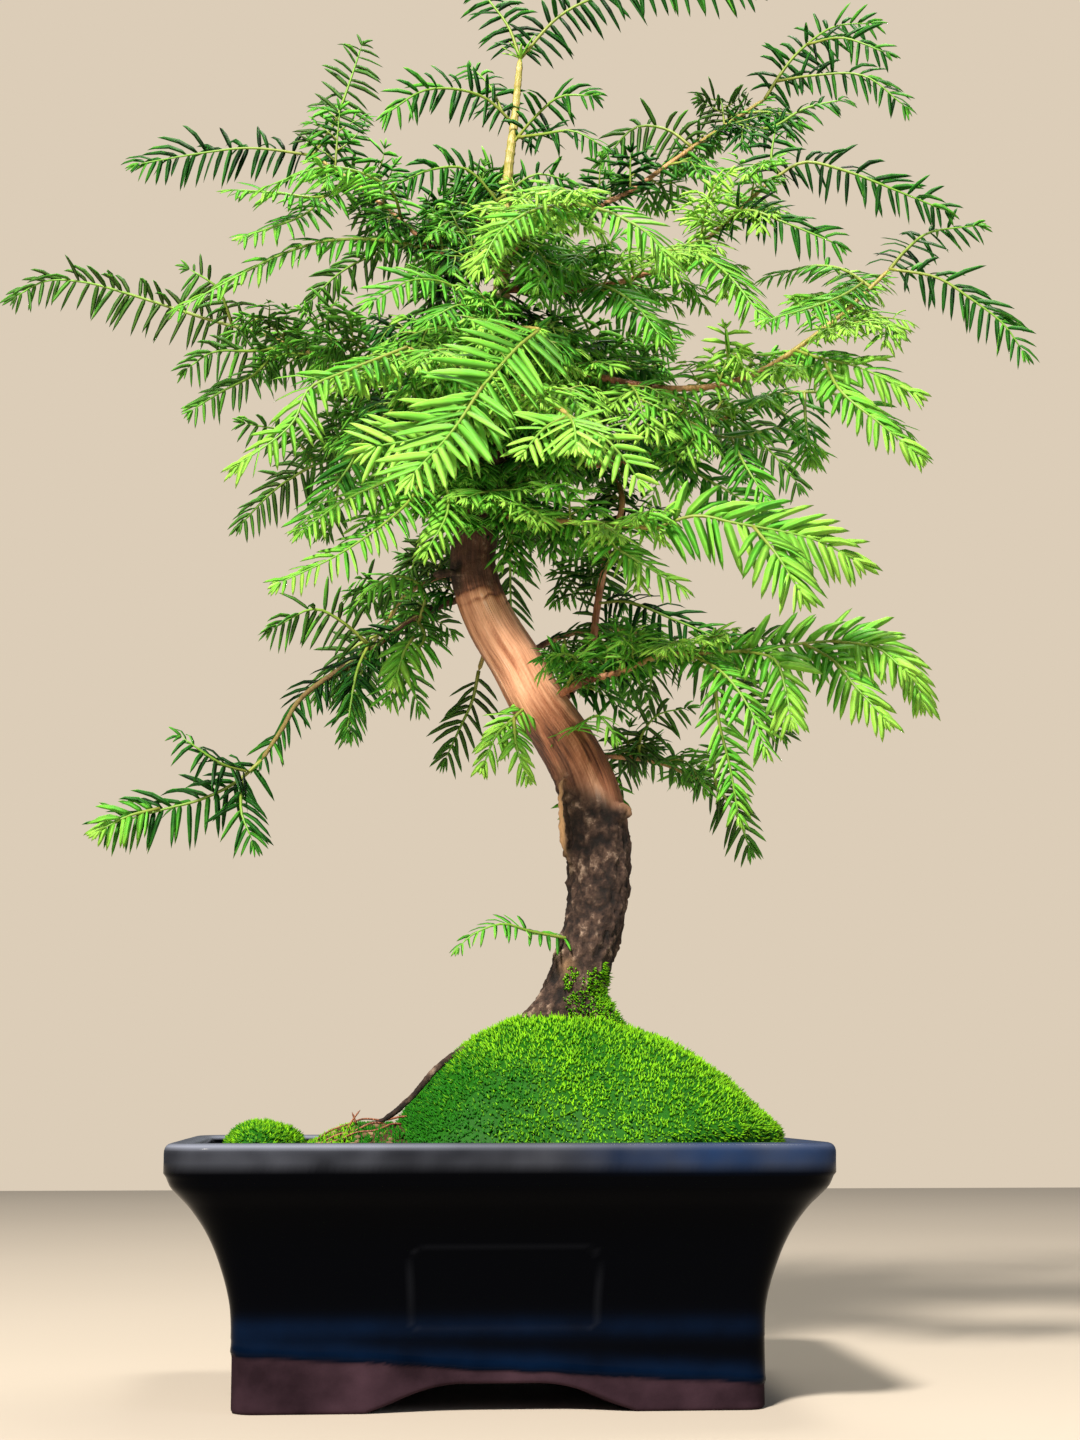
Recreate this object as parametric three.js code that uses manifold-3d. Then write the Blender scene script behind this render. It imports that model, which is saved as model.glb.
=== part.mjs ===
// A dawn redwood bonsai, about 500 mm tall, in its rectangular glazed clay pot.
// Millimetres, +Z up, the pot's front facing -Y. The origin is under the pot's middle, level with its feet.

import * as THREE from "three";
import { mergeVertices } from "three/addons/utils/BufferGeometryUtils.js";
import Module from "manifold-3d";

const wasm = await Module();
wasm.setup();

// Driving dimensions

const TOUCH_GAP = 0.3; // clearance left between pieces that touch
const WOOD_GAP = 0.35; // the same round the wood, whose sides are flat facets

const POT = {
  length: 203,
  width: 152,
  height: 80,
  cornerRadius: 14,
  wall: 7,
  floorUnderside: 8.5,
  floorThickness: 6,
  footWidth: 12, // how far a foot reaches in from the outer wall
  frontArch: { top: 22, foot: 82 }, // width of the low arch between two feet: its flat top, and at the ground
  endArch: { top: 15, foot: 56 },
  drainHole: 20, // diameter
  drainSpacing: 76,
};

// The outer wall from the foot up to the rim: height, and how far it stands in from the rim band.
const POT_PROFILE = [
  [0, 20.3], [20, 20.2], [34, 19.8], [40, 19.2], [45, 17.8], [50, 15.2], [55, 11.6],
  [60, 7.4], [64, 3.8], [67, 1.6], [70, 0.7], [71, 0], [78.6, 0], [79.7, 0.6], [80, 1.8],
];

// The inner wall, measured the same way.
const CAVITY_PROFILE = [[14.5, 27.4], [40, 26.4], [50, 22.4], [60, 14.6], [66, 9.6], [72, 7], [81, 7]];

const SCREEN = { side: 32, thick: 1, bars: 3, bar: 2.4 };

const SOIL_TOP = 76;
const MOUND = {
  x: 25,
  y: 2,
  left: 60, // how far it reaches from its middle
  right: 68,
  depth: 62,
  rise: 45,
  mossDepth: 6,
  roundness: 2.6, // power of its profile, higher where the flank is steeper
  skew: 0.6, // steeper to the left, gentler to the right
  lump: 1.1,
};
const TUFT = { x: -74, y: -28, length: 12.5, depth: 19, rise: 11 };
const SOIL_RISE = { x: -34, y: -6, length: 30, depth: 46, rise: 8 };

// A hump's profile: share of its height, and share of its reach there.
const HUMP_PROFILE = [[0, 1], [0.45, 0.93], [0.85, 0.6], [1, 0.15]];

// Trunk: points on its axis from the buried foot to the tip of the leader, with the radius at each.
const TRUNK = [
  [23, 0, 64, 9], [23, 0, 90, 13], [24, 0, 106, 15], [26, 0, 122, 12.3], [30, 0, 137, 10], [34, 1, 150, 9.5],
  [36, 3, 165, 10.3], [36, 5, 179, 10.8], [34, 6, 193, 10.5], [30, 7, 204, 10], [24, 7, 215, 9.5],
  [16, 5, 226, 9.2], [8, 3, 240, 8.9], [0, 0, 252, 8.5], [-5, -2, 263, 8], [-7, -4, 273, 7.3],
  [-5, -5, 287, 6.5], [-2, -5, 305, 5.5], [0, -4, 323, 4.6], [1, -2, 341, 3.8], [2, 0, 360, 3.1],
  [3, 1, 378, 2.6], [4, 1, 396, 2.4], [5, 0, 415, 2.2], [7, 0, 433, 1.9], [9, 0, 456, 1.5],
];

const TRUNK_AXIS = TRUNK.map((p) => p.slice(0, 3));
const TRUNK_RADII = TRUNK.map((p) => p[3]);

// Woody branches: points on the axis, from inside the wood that each grows from, and the radius at both ends.
const BRANCHES = {
  upper_left: {
    r: [2, 1.2],
    path: [[3, 0, 381], [-8, 6, 383], [-20, 10, 388], [-32, 14, 400], [-50, 18, 416], [-64, 20, 426]],
  },
  long_left: {
    r: [2.4, 1.3],
    path: [[2, -1, 354], [-15, 14, 352], [-35, 28, 353], [-58, 38, 357], [-82, 46, 368]],
  },
  front_left: { r: [2, 1.4], path: [[1, -3, 330], [-9, -25, 328], [-22, -42, 330], [-31, -52, 332]] },
  low_left: { r: [2, 1.3], path: [[-2, -5, 306], [-14, -12, 309], [-24, -14, 316], [-32, -12, 325]] },
  upper_right: {
    r: [2.1, 1.2],
    path: [[4, 1, 389], [24, 8, 399], [48, 14, 413], [72, 18, 432], [100, 20, 453]],
  },
  mid_right: {
    r: [2.1, 1.2],
    path: [[2, 0, 371], [22, -10, 367], [46, -16, 370], [66, -20, 379], [94, -24, 404]],
  },
  far_right: {
    r: [2.5, 1.2],
    path: [[2, -1, 350], [29, -14, 337], [61, -24, 329], [84, -30, 332], [113, -36, 351], [131, -38, 368]],
  },
  under_right: {
    r: [2, 1.2],
    path: [[-1, -4, 315], [23, 4, 310], [48, 8, 312], [65, 8, 319], [86, 4, 330], [104, 0, 336]],
  },
  front_low_right: { r: [2.1, 1.4], path: [[-5, -5, 289], [14, -30, 281], [32, -48, 276], [48, -58, 272]] },
  front_up: { r: [1.8, 1.3], path: [[3, 0, 376], [8, -20, 381], [16, -38, 384], [24, -50, 383]] },
  front_mid: { r: [1.9, 1.4], path: [[2, -1, 350], [4, -30, 345], [7, -50, 340], [11, -64, 335]] },
  front_star: { r: [2, 1.4], path: [[1, -4, 328], [6, -40, 320], [13, -66, 311], [18, -82, 302]] },
  upright: {
    r: [2.9, 1.2],
    path: [
      [20, 6, 222], [30, 14, 235], [35, 18, 246], [38, 20, 265], [42, 18, 285], [46, 14, 298],
      [44, 26, 317], [39, 40, 352],
    ],
  },
  low_right: {
    r: [2.6, 1.2],
    path: [[18, 4, 226], [30, -8, 231], [42, -18, 233], [54, -26, 237], [70, -32, 237]],
  },
  behind_right: { r: [2.1, 1.2], path: [[28, 7, 209], [42, 26, 211], [61, 34, 210], [77, 38, 204]] },
  low_left_long: {
    r: [2.4, 1.3],
    path: [
      [-5, -2, 261], [-15, 14, 262], [-28, 24, 257], [-41, 28, 248], [-65, 26, 230], [-71, 22, 219],
      [-78, 18, 207],
    ],
  },
  low_back_left: { r: [1.7, 1.3], path: [[1, 0, 249], [-1, 24, 248], [-3, 34, 242]] },
  back_top: { r: [1.9, 1.3], path: [[4, 1, 396], [0, 20, 404], [-8, 42, 411], [-13, 60, 411]] },
  back_left: { r: [2.1, 1.3], path: [[-2, -5, 305], [-14, 20, 318], [-32, 48, 329], [-50, 68, 330]] },
  back_right: { r: [2.1, 1.3], path: [[1, -2, 341], [20, 24, 352], [48, 48, 358], [72, 64, 354]] },
  back_middle: { r: [2, 1.3], path: [[0, -4, 323], [3, 28, 322], [8, 58, 317], [10, 82, 308]] },
  back_low_right: { r: [2.2, 1.3], path: [[8, 3, 240], [26, 30, 254], [48, 54, 262], [66, 68, 260]] },
  back_low_left: { r: [2.1, 1.3], path: [[-5, -2, 263], [-16, 24, 273], [-28, 46, 272], [-36, 64, 264]] },
};

// Stubs where a branch was cut off or broke, the buttresses of the trunk's foot, and the root along the soil.
const STUBS = {
  broken_twig: { r: [2.2, 1.6], path: [[-5, -3, 266], [-15, -12, 266], [-22, -18, 264]] },
  pruned_nub: { r: [4.4, 3], path: [[36, 4, 186], [43, -1, 188], [48, -4, 190]] },
  left_bump: { r: [3.6, 2.2], path: [[34, 3, 172], [27, 0, 174], [23, -2, 175]] },
  left_buttress: { r: [9, 5], path: [[27, 0, 128], [14, -5, 112], [2, -9, 96]] },
  right_buttress: { r: [9, 5], path: [[27, 0, 126], [38, -6, 112], [48, -12, 98]] },
  back_buttress: { r: [8, 5], path: [[26, 2, 124], [24, 14, 110], [22, 26, 96]] },
  surface_root: {
    r: [2.6, 1.4],
    path: [
      [12, -4, 106], [-8, -9, 111], [-18, -13, 105], [-27, -17, 94], [-38, -19, 87], [-48, -20, 83],
      [-55, -21, 75],
    ],
  },
};

// Needles, true to size but spaced wider than on the tree.
const NEEDLE = {
  width: 2.1,
  spacing: 6.6, // between two opposite pairs
  bareStem: 4, // where a shoot leaves what carries it
  angleAtBase: 72, // degrees from the stem
  angleAtTip: 42,
  angleVaries: 8,
  liftVaries: 0.16,
  lengthVaries: 0.16,
  droop: 0.16,
  tilt: 0.45, // 0 holds a shoot level, 1 turns its flat side outwards
  onForks: 0.85, // length against the needles of the main stem
  clearOfWood: 0.5,
  clearOfStems: 0.4,
};
const STEM = { radius: 0.95, tip: 5 };

// Facets round and along the rounded pieces.
const FACETS = { trunkSides: 9, trunkSteps: 25, limbSides: 5, moundSides: 20, coreSides: 15, humpSides: 12 };

// Leafy sprays. Each grows on a branch at a share of its length, and its stem then passes through the points
// of `stem`. A fork is a side shoot that leaves the stem at the share `from` of its length. `leaf` is the
// longest needle, and `faces`, where given, the direction that the flat side of the spray turns to.
const SPRAYS = {
  apex: {
    on: "trunk", at: 1, leaf: 17,
    stem: [[23, -4, 471], [40, -6, 479], [63, -8, 482], [90, -8, 481]],
    forks: [
      { from: 0, path: [[5, 4, 470], [-2, 8, 482], [-9, 10, 493]] },
    ],
  },
  leader_left: {
    on: "trunk", at: 0.94, leaf: 15,
    stem: [[-5, -6, 439], [-24, -12, 438], [-38, -14, 428]],
    forks: [
      { from: 0.1, path: [[-2, 6, 449], [-8, 10, 457]] },
    ],
  },
  leader_right: {
    on: "trunk", at: 0.92, leaf: 14,
    stem: [[14, -6, 432], [22, -12, 437], [33, -16, 436]],
    forks: [
      { from: 0.1, path: [[16, -12, 423], [26, -18, 422], [36, -20, 416]] },
    ],
  },
  leader_low: {
    on: "trunk", at: 0.86, leaf: 14,
    stem: [[-10, -8, 411], [-22, -12, 409], [-34, -16, 402]],
    forks: [
      { from: 0.1, path: [[14, -8, 410], [25, -8, 408]] },
    ],
  },
  upper_left_tip: {
    on: "upper_left", at: 1, leaf: 17,
    stem: [[-86, 20, 428], [-101, 20, 426], [-125, 18, 420]],
    forks: [
      { from: 0, path: [[-57, 26, 440], [-52, 30, 456], [-47, 32, 474]] },
    ],
  },
  upper_left_mid: {
    on: "upper_left", at: 0.79, leaf: 15,
    stem: [[-61, 4, 404], [-76, -4, 402], [-90, -8, 401]],
    forks: [
      { from: 0.35, path: [[-67, -6, 393], [-86, -14, 382]] },
    ],
  },
  upper_left_front: {
    on: "upper_left", at: 0.51, leaf: 17,
    stem: [[-37, -2, 406], [-57, -14, 408], [-78, -20, 398]],
  },
  upper_left_low: {
    on: "upper_left", at: 0.3, leaf: 15,
    stem: [[-37, 2, 388], [-57, -2, 386], [-73, -4, 380], [-108, -8, 358]],
  },
  long_left_tip: {
    on: "long_left", at: 1, leaf: 16,
    stem: [[-100, 48, 373], [-131, 50, 383], [-147, 50, 387], [-161, 50, 387], [-171, 50, 381]],
    forks: [
      { from: 0.12, path: [[-98, 38, 382], [-108, 36, 388]] },
    ],
  },
  long_left_mid: {
    on: "long_left", at: 0.87, leaf: 15,
    stem: [[-84, 30, 356], [-98, 26, 354], [-107, 24, 347]],
    forks: [
      { from: 0.2, path: [[-83, 22, 345], [-95, 16, 336], [-104, 14, 329]] },
    ],
  },
  front_left_tip: {
    on: "front_left", at: 1, leaf: 17,
    stem: [[-51, -62, 320], [-62, -66, 313], [-67, -68, 301], [-83, -70, 287]],
  },
  low_left_tip: {
    on: "low_left", at: 1, leaf: 16,
    stem: [[-42, -24, 313], [-51, -34, 294], [-65, -40, 275]],
  },
  low_left_mid: {
    on: "low_left", at: 0.36, leaf: 15,
    stem: [[-24, -28, 299], [-38, -40, 290], [-51, -50, 281], [-63, -56, 270]],
    forks: [
      { from: 0.3, path: [[-29, -40, 285], [-50, -54, 264], [-70, -60, 252]] },
      { from: 0.15, path: [[-17, -36, 282], [-24, -42, 267]] },
    ],
  },
  hero_left: {
    on: "front_mid", at: 1, leaf: 21, faces: [0.1, -0.95, 0.15],
    stem: [[3, -76, 325], [-8, -88, 309], [-15, -92, 300], [-25, -94, 291], [-41, -94, 287]],
    forks: [
      { from: 0.5, path: [[-19, -102, 289], [-30, -108, 275]] },
    ],
  },
  hero_star: {
    on: "front_star", at: 1, leaf: 20,
    stem: [[19, -94, 295], [19, -104, 284]],
    forks: [
      { from: 0.1, path: [[30, -88, 294], [40, -90, 282], [47, -88, 272]] },
      { from: 0.1, path: [[8, -92, 294], [0, -98, 282]] },
    ],
  },
  dome: {
    on: "front_up", at: 1, leaf: 16,
    stem: [[35, -58, 381], [47, -62, 372], [55, -62, 360]],
    forks: [
      { from: 0.05, path: [[11, -60, 382], [-2, -68, 371], [-9, -70, 357]] },
    ],
  },
  upper_right_tip: {
    on: "upper_right", at: 1, leaf: 16,
    stem: [[106, 20, 463], [113, 20, 472], [126, 20, 482], [140, 20, 484]],
    forks: [
      { from: 0.5, path: [[127, 12, 474], [142, 6, 466]] },
      { from: 0.15, path: [[116, 12, 459], [133, 4, 456], [147, 0, 443]] },
    ],
  },
  upper_right_mid: {
    on: "upper_right", at: 0.87, leaf: 15,
    stem: [[99, 4, 435], [110, -2, 440], [124, -4, 443]],
  },
  upper_right_top: {
    on: "upper_right", at: 0.71, leaf: 15,
    stem: [[64, 22, 441], [53, 26, 443], [42, 30, 432]],
  },
  mid_right_tip: {
    on: "mid_right", at: 1, leaf: 16,
    stem: [[104, -28, 409], [117, -32, 405], [136, -36, 396], [151, -36, 390]],
    forks: [
      { from: 0.05, path: [[95, -18, 414], [97, -16, 426]] },
    ],
  },
  mid_right_low: {
    on: "mid_right", at: 0.78, leaf: 15,
    stem: [[83, -34, 389], [94, -40, 383], [112, -44, 374]],
  },
  mid_right_front: {
    on: "mid_right", at: 0.65, leaf: 17,
    stem: [[68, -40, 370], [75, -52, 358], [83, -58, 344]],
  },
  far_right_tip: {
    on: "far_right", at: 1, leaf: 17,
    stem: [[146, -42, 364], [157, -44, 356], [167, -46, 347], [173, -46, 338]],
    forks: [
      { from: 0, path: [[138, -32, 377], [147, -28, 385], [165, -26, 389]] },
    ],
  },
  far_right_back: {
    on: "far_right", at: 0.94, leaf: 15,
    stem: [[117, -26, 372], [108, -20, 375], [93, -18, 371]],
    forks: [
      { from: 0.1, path: [[112, -50, 354], [99, -60, 346], [84, -64, 340]] },
    ],
  },
  far_right_low: {
    on: "far_right", at: 0.72, leaf: 16,
    stem: [[107, -44, 334], [116, -50, 330], [134, -54, 320]],
    forks: [
      { from: 0.3, path: [[110, -56, 319], [121, -62, 307], [133, -64, 296]] },
    ],
  },
  under_right_tip: {
    on: "under_right", at: 1, leaf: 14,
    stem: [[117, -4, 335], [130, -8, 328], [142, -10, 320]],
    forks: [
      { from: 0.1, path: [[107, -10, 322], [108, -14, 308]] },
    ],
  },
  under_right_mid: {
    on: "under_right", at: 0.69, leaf: 16,
    stem: [[83, -8, 317], [98, -14, 319], [110, -16, 312]],
    forks: [
      { from: 0.35, path: [[84, -20, 304], [90, -24, 292]] },
    ],
  },
  under_right_low: {
    on: "under_right", at: 0.62, leaf: 17,
    stem: [[69, -4, 306], [80, -8, 298], [91, -12, 289], [98, -14, 280]],
  },
  front_low_right_tip: {
    on: "front_low_right", at: 1, leaf: 19,
    stem: [[60, -64, 275], [72, -68, 272], [97, -72, 266], [109, -72, 260]],
    forks: [
      { from: 0.5, path: [[84, -78, 259], [90, -80, 248]] },
    ],
  },
  front_low_right_mid: {
    on: "front_low_right", at: 0.75, leaf: 15,
    stem: [[35, -56, 267], [43, -62, 260], [55, -64, 252]],
  },
  upright_low: {
    on: "upright", at: 0.34, leaf: 15,
    stem: [[48, 8, 262], [61, 0, 255], [72, -2, 250], [82, -4, 245]],
  },
  upright_tip: {
    on: "upright", at: 1, leaf: 15,
    stem: [[46, 48, 366], [58, 56, 374], [70, 62, 374]],
    forks: [
      { from: 0.18, path: [[38, 40, 368], [30, 30, 380]] },
    ],
  },
  low_right_tip: {
    on: "low_right", at: 1, leaf: 16,
    stem: [[87, -36, 238], [103, -38, 240], [124, -38, 239], [136, -41, 230], [141, -42, 215]],
    forks: [
      { from: 0.38, path: [[108, -46, 229], [114, -52, 218], [126, -58, 205]] },
      { from: 0.22, path: [[96, -48, 230], [104, -54, 222]] },
    ],
  },
  low_right_mid: {
    on: "low_right", at: 0.88, leaf: 15,
    stem: [[72, -44, 228], [79, -50, 216], [83, -54, 203]],
    forks: [
      { from: 0.3, path: [[71, -38, 214], [75, -34, 198], [79, -32, 174]] },
    ],
  },
  behind_right_tip: {
    on: "behind_right", at: 1, leaf: 15,
    stem: [[84, 40, 200], [90, 42, 192], [94, 42, 181]],
    forks: [
      { from: 0.2, path: [[80, 30, 208], [80, 20, 216]] },
    ],
  },
  behind_right_mid: {
    on: "behind_right", at: 0.6, leaf: 14,
    stem: [[53, 22, 217], [58, 16, 224], [68, 12, 226]],
    forks: [
      { from: 0.3, path: [[50, 40, 210], [44, 48, 200]] },
    ],
  },
  near_trunk_left: {
    on: "low_right", at: 0.14, leaf: 11,
    stem: [[27, -16, 237], [21, -22, 238], [14, -26, 231]],
  },
  near_trunk_low: {
    on: "trunk", at: 0.38, leaf: 12,
    stem: [[30, -12, 217], [34, -18, 218], [39, -22, 211]],
  },
  low_left_long_tip: {
    on: "low_left_long", at: 1, leaf: 18,
    stem: [[-87, 18, 199], [-99, 18, 193], [-110, 18, 190], [-130, 18, 184]],
    forks: [
      { from: 0.1, path: [[-91, 6, 204], [-104, 0, 212]] },
      { from: 0.15, path: [[-84, 8, 188], [-78, 2, 174]] },
    ],
  },
  low_left_long_mid: {
    on: "low_left_long", at: 0.47, leaf: 16,
    stem: [[-52, 22, 257], [-61, 18, 260], [-75, 14, 252]],
    forks: [
      { from: 0.05, path: [[-46, 14, 237], [-49, 6, 216]] },
    ],
  },
  low_left_long_near: {
    on: "low_left_long", at: 0.3, leaf: 15,
    stem: [[-23, 8, 248], [-30, 0, 237], [-35, -4, 226]],
    forks: [
      { from: 0.1, path: [[-23, 12, 266], [-33, 4, 269], [-44, 0, 262]] },
    ],
  },
  low_back_left: {
    on: "low_back_left", at: 1, leaf: 15,
    stem: [[-5, 38, 232], [-9, 40, 223], [-14, 42, 212]],
  },
  trunk_hang: {
    on: "trunk", at: 0.42, leaf: 12,
    stem: [[5, -8, 217], [0, -14, 211], [-4, -16, 201]],
    forks: [
      { from: 0.4, path: [[7, -20, 206], [10, -22, 197]] },
    ],
  },
  basal_sprig: {
    on: "trunk", at: 0.2, leaf: 9,
    stem: [[12, -12, 147], [2, -18, 149], [-8, -20, 145], [-12, -22, 141]],
  },
  crown_left: {
    on: "trunk", at: 0.72, leaf: 16,
    stem: [[-12, -20, 362], [-28, -32, 362], [-42, -38, 352]],
    forks: [
      { from: 0.3, path: [[-14, -36, 352], [-24, -50, 342]] },
    ],
  },
  crown_right: {
    on: "mid_right", at: 0.3, leaf: 16,
    stem: [[36, -30, 362], [44, -42, 352], [52, -50, 338]],
    forks: [
      { from: 0.2, path: [[44, -30, 354], [60, -36, 346]] },
    ],
  },
  back_top: {
    on: "back_top", at: 1, leaf: 16,
    stem: [[-17, 76, 406], [-20, 92, 396], [-20, 104, 382]],
    forks: [
      { from: 0.1, path: [[-34, 68, 410], [-54, 74, 402], [-66, 76, 390]] },
      { from: 0.15, path: [[4, 74, 410], [22, 82, 404], [34, 86, 392]] },
    ],
  },
  back_left: {
    on: "back_left", at: 1, leaf: 16,
    stem: [[-64, 78, 327], [-78, 84, 319], [-90, 88, 307]],
    forks: [
      { from: 0.15, path: [[-54, 88, 322], [-58, 104, 308]] },
      { from: 0.3, path: [[-72, 66, 336], [-88, 60, 338]] },
    ],
  },
  back_right: {
    on: "back_right", at: 1, leaf: 16,
    stem: [[90, 74, 349], [108, 80, 340], [122, 84, 326]],
    forks: [
      { from: 0.1, path: [[76, 84, 348], [80, 104, 336]] },
      { from: 0.3, path: [[98, 62, 362], [116, 54, 366]] },
    ],
  },
  back_middle: {
    on: "back_middle", at: 1, leaf: 16,
    stem: [[12, 96, 298], [13, 106, 284], [14, 110, 270]],
    forks: [
      { from: 0.05, path: [[-6, 92, 304], [-24, 100, 294], [-34, 102, 282]] },
      { from: 0.1, path: [[30, 94, 304], [46, 100, 294], [56, 102, 282]] },
    ],
  },
  back_low_right: {
    on: "back_low_right", at: 1, leaf: 16,
    stem: [[84, 76, 252], [100, 80, 242], [114, 82, 228]],
    forks: [
      { from: 0.1, path: [[66, 88, 252], [66, 102, 240]] },
      { from: 0.3, path: [[94, 64, 260], [110, 56, 260]] },
    ],
  },
  back_low_left: {
    on: "back_low_left", at: 1, leaf: 16,
    stem: [[-42, 80, 256], [-46, 94, 244], [-48, 102, 230]],
    forks: [
      { from: 0.1, path: [[-50, 68, 254], [-60, 74, 240]] },
      { from: 0.3, path: [[-30, 88, 252], [-22, 98, 240]] },
    ],
  },
};

const COLOURS = {
  pot: { color: 0x23242c, roughness: 0.32 },
  soil: { color: 0x3a2c22, roughness: 0.95 },
  moss: { color: 0x4f7f26, roughness: 0.95 },
  wood: { color: 0x5b4030, roughness: 0.85 },
  screen: { color: 0x22252a, roughness: 0.5 },
  needles: { color: 0x55b12c, roughness: 0.5 },
};

const part = new THREE.Group();

// Solids and meshes

function solidFrom(positions, triangles) {
  const mesh = new wasm.Mesh({
    numProp: 3,
    vertProperties: new Float32Array(positions),
    triVerts: new Uint32Array(triangles),
  });
  return new wasm.Manifold(mesh);
}

function solidFromGeometry(geometry) {
  const bare = geometry.clone();
  bare.deleteAttribute("normal");
  bare.deleteAttribute("uv");
  const merged = mergeVertices(bare, 1e-4);
  return solidFrom(merged.attributes.position.array, merged.index.array);
}

function addPiece(name, solid, look) {
  const { vertProperties, triVerts, numProp, numVert } = solid.getMesh();
  const positions = new Float32Array(numVert * 3);
  for (let i = 0; i < numVert; i++) {
    positions.set(vertProperties.subarray(i * numProp, i * numProp + 3), i * 3);
  }
  const geometry = new THREE.BufferGeometry();
  geometry.setAttribute("position", new THREE.BufferAttribute(positions, 3));
  geometry.setIndex(new THREE.BufferAttribute(new Uint32Array(triVerts), 1));
  geometry.computeVertexNormals();
  const mesh = new THREE.Mesh(geometry, new THREE.MeshStandardMaterial({ metalness: 0, ...look }));
  mesh.name = name;
  part.add(mesh);
}

// A closed solid through rings of equally many points, each ring counter-clockwise seen from the last ring.
function loft(rings) {
  const count = rings[0].length;
  const positions = rings.flat().flatMap((p) => [p.x, p.y, p.z]);
  const triangles = [];
  for (let r = 0; r + 1 < rings.length; r++) {
    for (let i = 0; i < count; i++) {
      const a = r * count + i;
      const b = r * count + ((i + 1) % count);
      triangles.push(a, b, b + count, a, b + count, a + count);
    }
  }
  const last = (rings.length - 1) * count;
  for (let i = 1; i + 1 < count; i++) {
    triangles.push(0, i + 1, i, last, last + i, last + i + 1);
  }
  return solidFrom(positions, triangles);
}

// Pot

// A rounded rectangle at height z, the given distance inside the rim band's outline.
function potRing(inset, z) {
  const pointsPerCorner = 4;
  const radius = Math.max(POT.cornerRadius - inset * 0.35, 4);
  const centreX = POT.length / 2 - inset - radius;
  const centreY = POT.width / 2 - inset - radius;
  const corners = [[1, 1], [-1, 1], [-1, -1], [1, -1]];
  return corners.flatMap(([signX, signY], corner) =>
    Array.from({ length: pointsPerCorner }, (_, i) => {
      const angle = (Math.PI / 2) * (corner + i / (pointsPerCorner - 1));
      const x = signX * centreX + radius * Math.cos(angle);
      return new THREE.Vector3(x, signY * centreY + radius * Math.sin(angle), z);
    }),
  );
}

const potLoft = (profile, grow = 0) => loft(profile.map(([z, inset]) => potRing(inset - grow, z)));

// The low arch between two feet, right through the pot along Y.
function archCutter(reach, { top: topWidth, foot: footWidth }) {
  const top = POT.floorUnderside;
  const [half, flat] = [footWidth / 2, topWidth / 2];
  const [lip, below, flare] = [0.4, -1, 4]; // heights where the arch meets the foot and where the cutter ends
  const [footPull, topPull] = [8, 14]; // handles of the curve between the foot and the flat top
  const outline = new THREE.Shape();
  outline.moveTo(-half - flare, below);
  outline.lineTo(half + flare, below);
  outline.lineTo(half, lip);
  outline.bezierCurveTo(half - footPull, 2, flat + topPull, top, flat, top);
  outline.lineTo(-flat, top);
  outline.bezierCurveTo(-flat - topPull, top, -half + footPull, 2, -half, lip);
  const settings = { depth: reach, bevelEnabled: false, curveSegments: 6 };
  const geometry = new THREE.ExtrudeGeometry(outline, settings);
  geometry.translate(0, 0, -reach / 2).rotateX(Math.PI / 2);
  return geometry;
}

const box = (x, y, z) => new THREE.BoxGeometry(x, y, z);

function drainHole(side) {
  const drill = new THREE.CylinderGeometry(POT.drainHole / 2, POT.drainHole / 2, 3 * POT.floorThickness, 16);
  drill.rotateX(Math.PI / 2).translate((side * POT.drainSpacing) / 2, 0, POT.floorUnderside);
  return solidFromGeometry(drill);
}

function potSolid() {
  const footInset = POT_PROFILE[0][1] + POT.footWidth;
  const underside = loft([potRing(footInset, -1), potRing(footInset, POT.floorUnderside)]);
  const acrossFront = archCutter(POT.width, POT.frontArch);
  const acrossEnds = archCutter(POT.length, POT.endArch).rotateZ(Math.PI / 2);
  return potLoft(POT_PROFILE)
    .subtract(potLoft(CAVITY_PROFILE))
    .subtract(underside)
    .subtract(solidFromGeometry(acrossFront))
    .subtract(solidFromGeometry(acrossEnds))
    .subtract(drainHole(-1))
    .subtract(drainHole(1));
}

// A square of plastic mesh over each drain hole
const POT_FLOOR = POT.floorUnderside + POT.floorThickness;

function drainScreen(side) {
  const { side: size, thick, bars, bar } = SCREEN;
  const z = POT_FLOOR + TOUCH_GAP + thick / 2;
  let plate = solidFromGeometry(box(size, size, thick).translate((side * POT.drainSpacing) / 2, 0, z));
  const pitch = (size - bar) / bars;
  for (let i = 0; i < bars; i++) {
    for (let j = 0; j < bars; j++) {
      const window = box(pitch - bar, pitch - bar, 3 * thick).translate(
        (side * POT.drainSpacing) / 2 + (i - (bars - 1) / 2) * pitch,
        (j - (bars - 1) / 2) * pitch,
        z,
      );
      plate = plate.subtract(solidFromGeometry(window));
    }
  }
  return plate;
}

// Wood

const vectors = (points) => points.map(([x, y, z]) => new THREE.Vector3(x, y, z));
const curveThrough = (points) => new THREE.CatmullRomCurve3(vectors(points), false, "centripetal");

// Directions along a curve, and two more at right angles that turn with it without twisting.
function framesAlong(curve, shares, firstUp) {
  const frames = [];
  let up = firstUp.clone();
  for (const share of shares) {
    const along = curve.getTangentAt(share);
    up = up.clone().addScaledVector(along, -up.dot(along)).normalize();
    const side = new THREE.Vector3().crossVectors(up, along);
    frames.push({ at: curve.getPointAt(share), along, up, side });
  }
  return frames;
}

// A direction that no limb sets out in.
const ASLANT = new THREE.Vector3(0.31, 0.17, 0.93);

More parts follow.
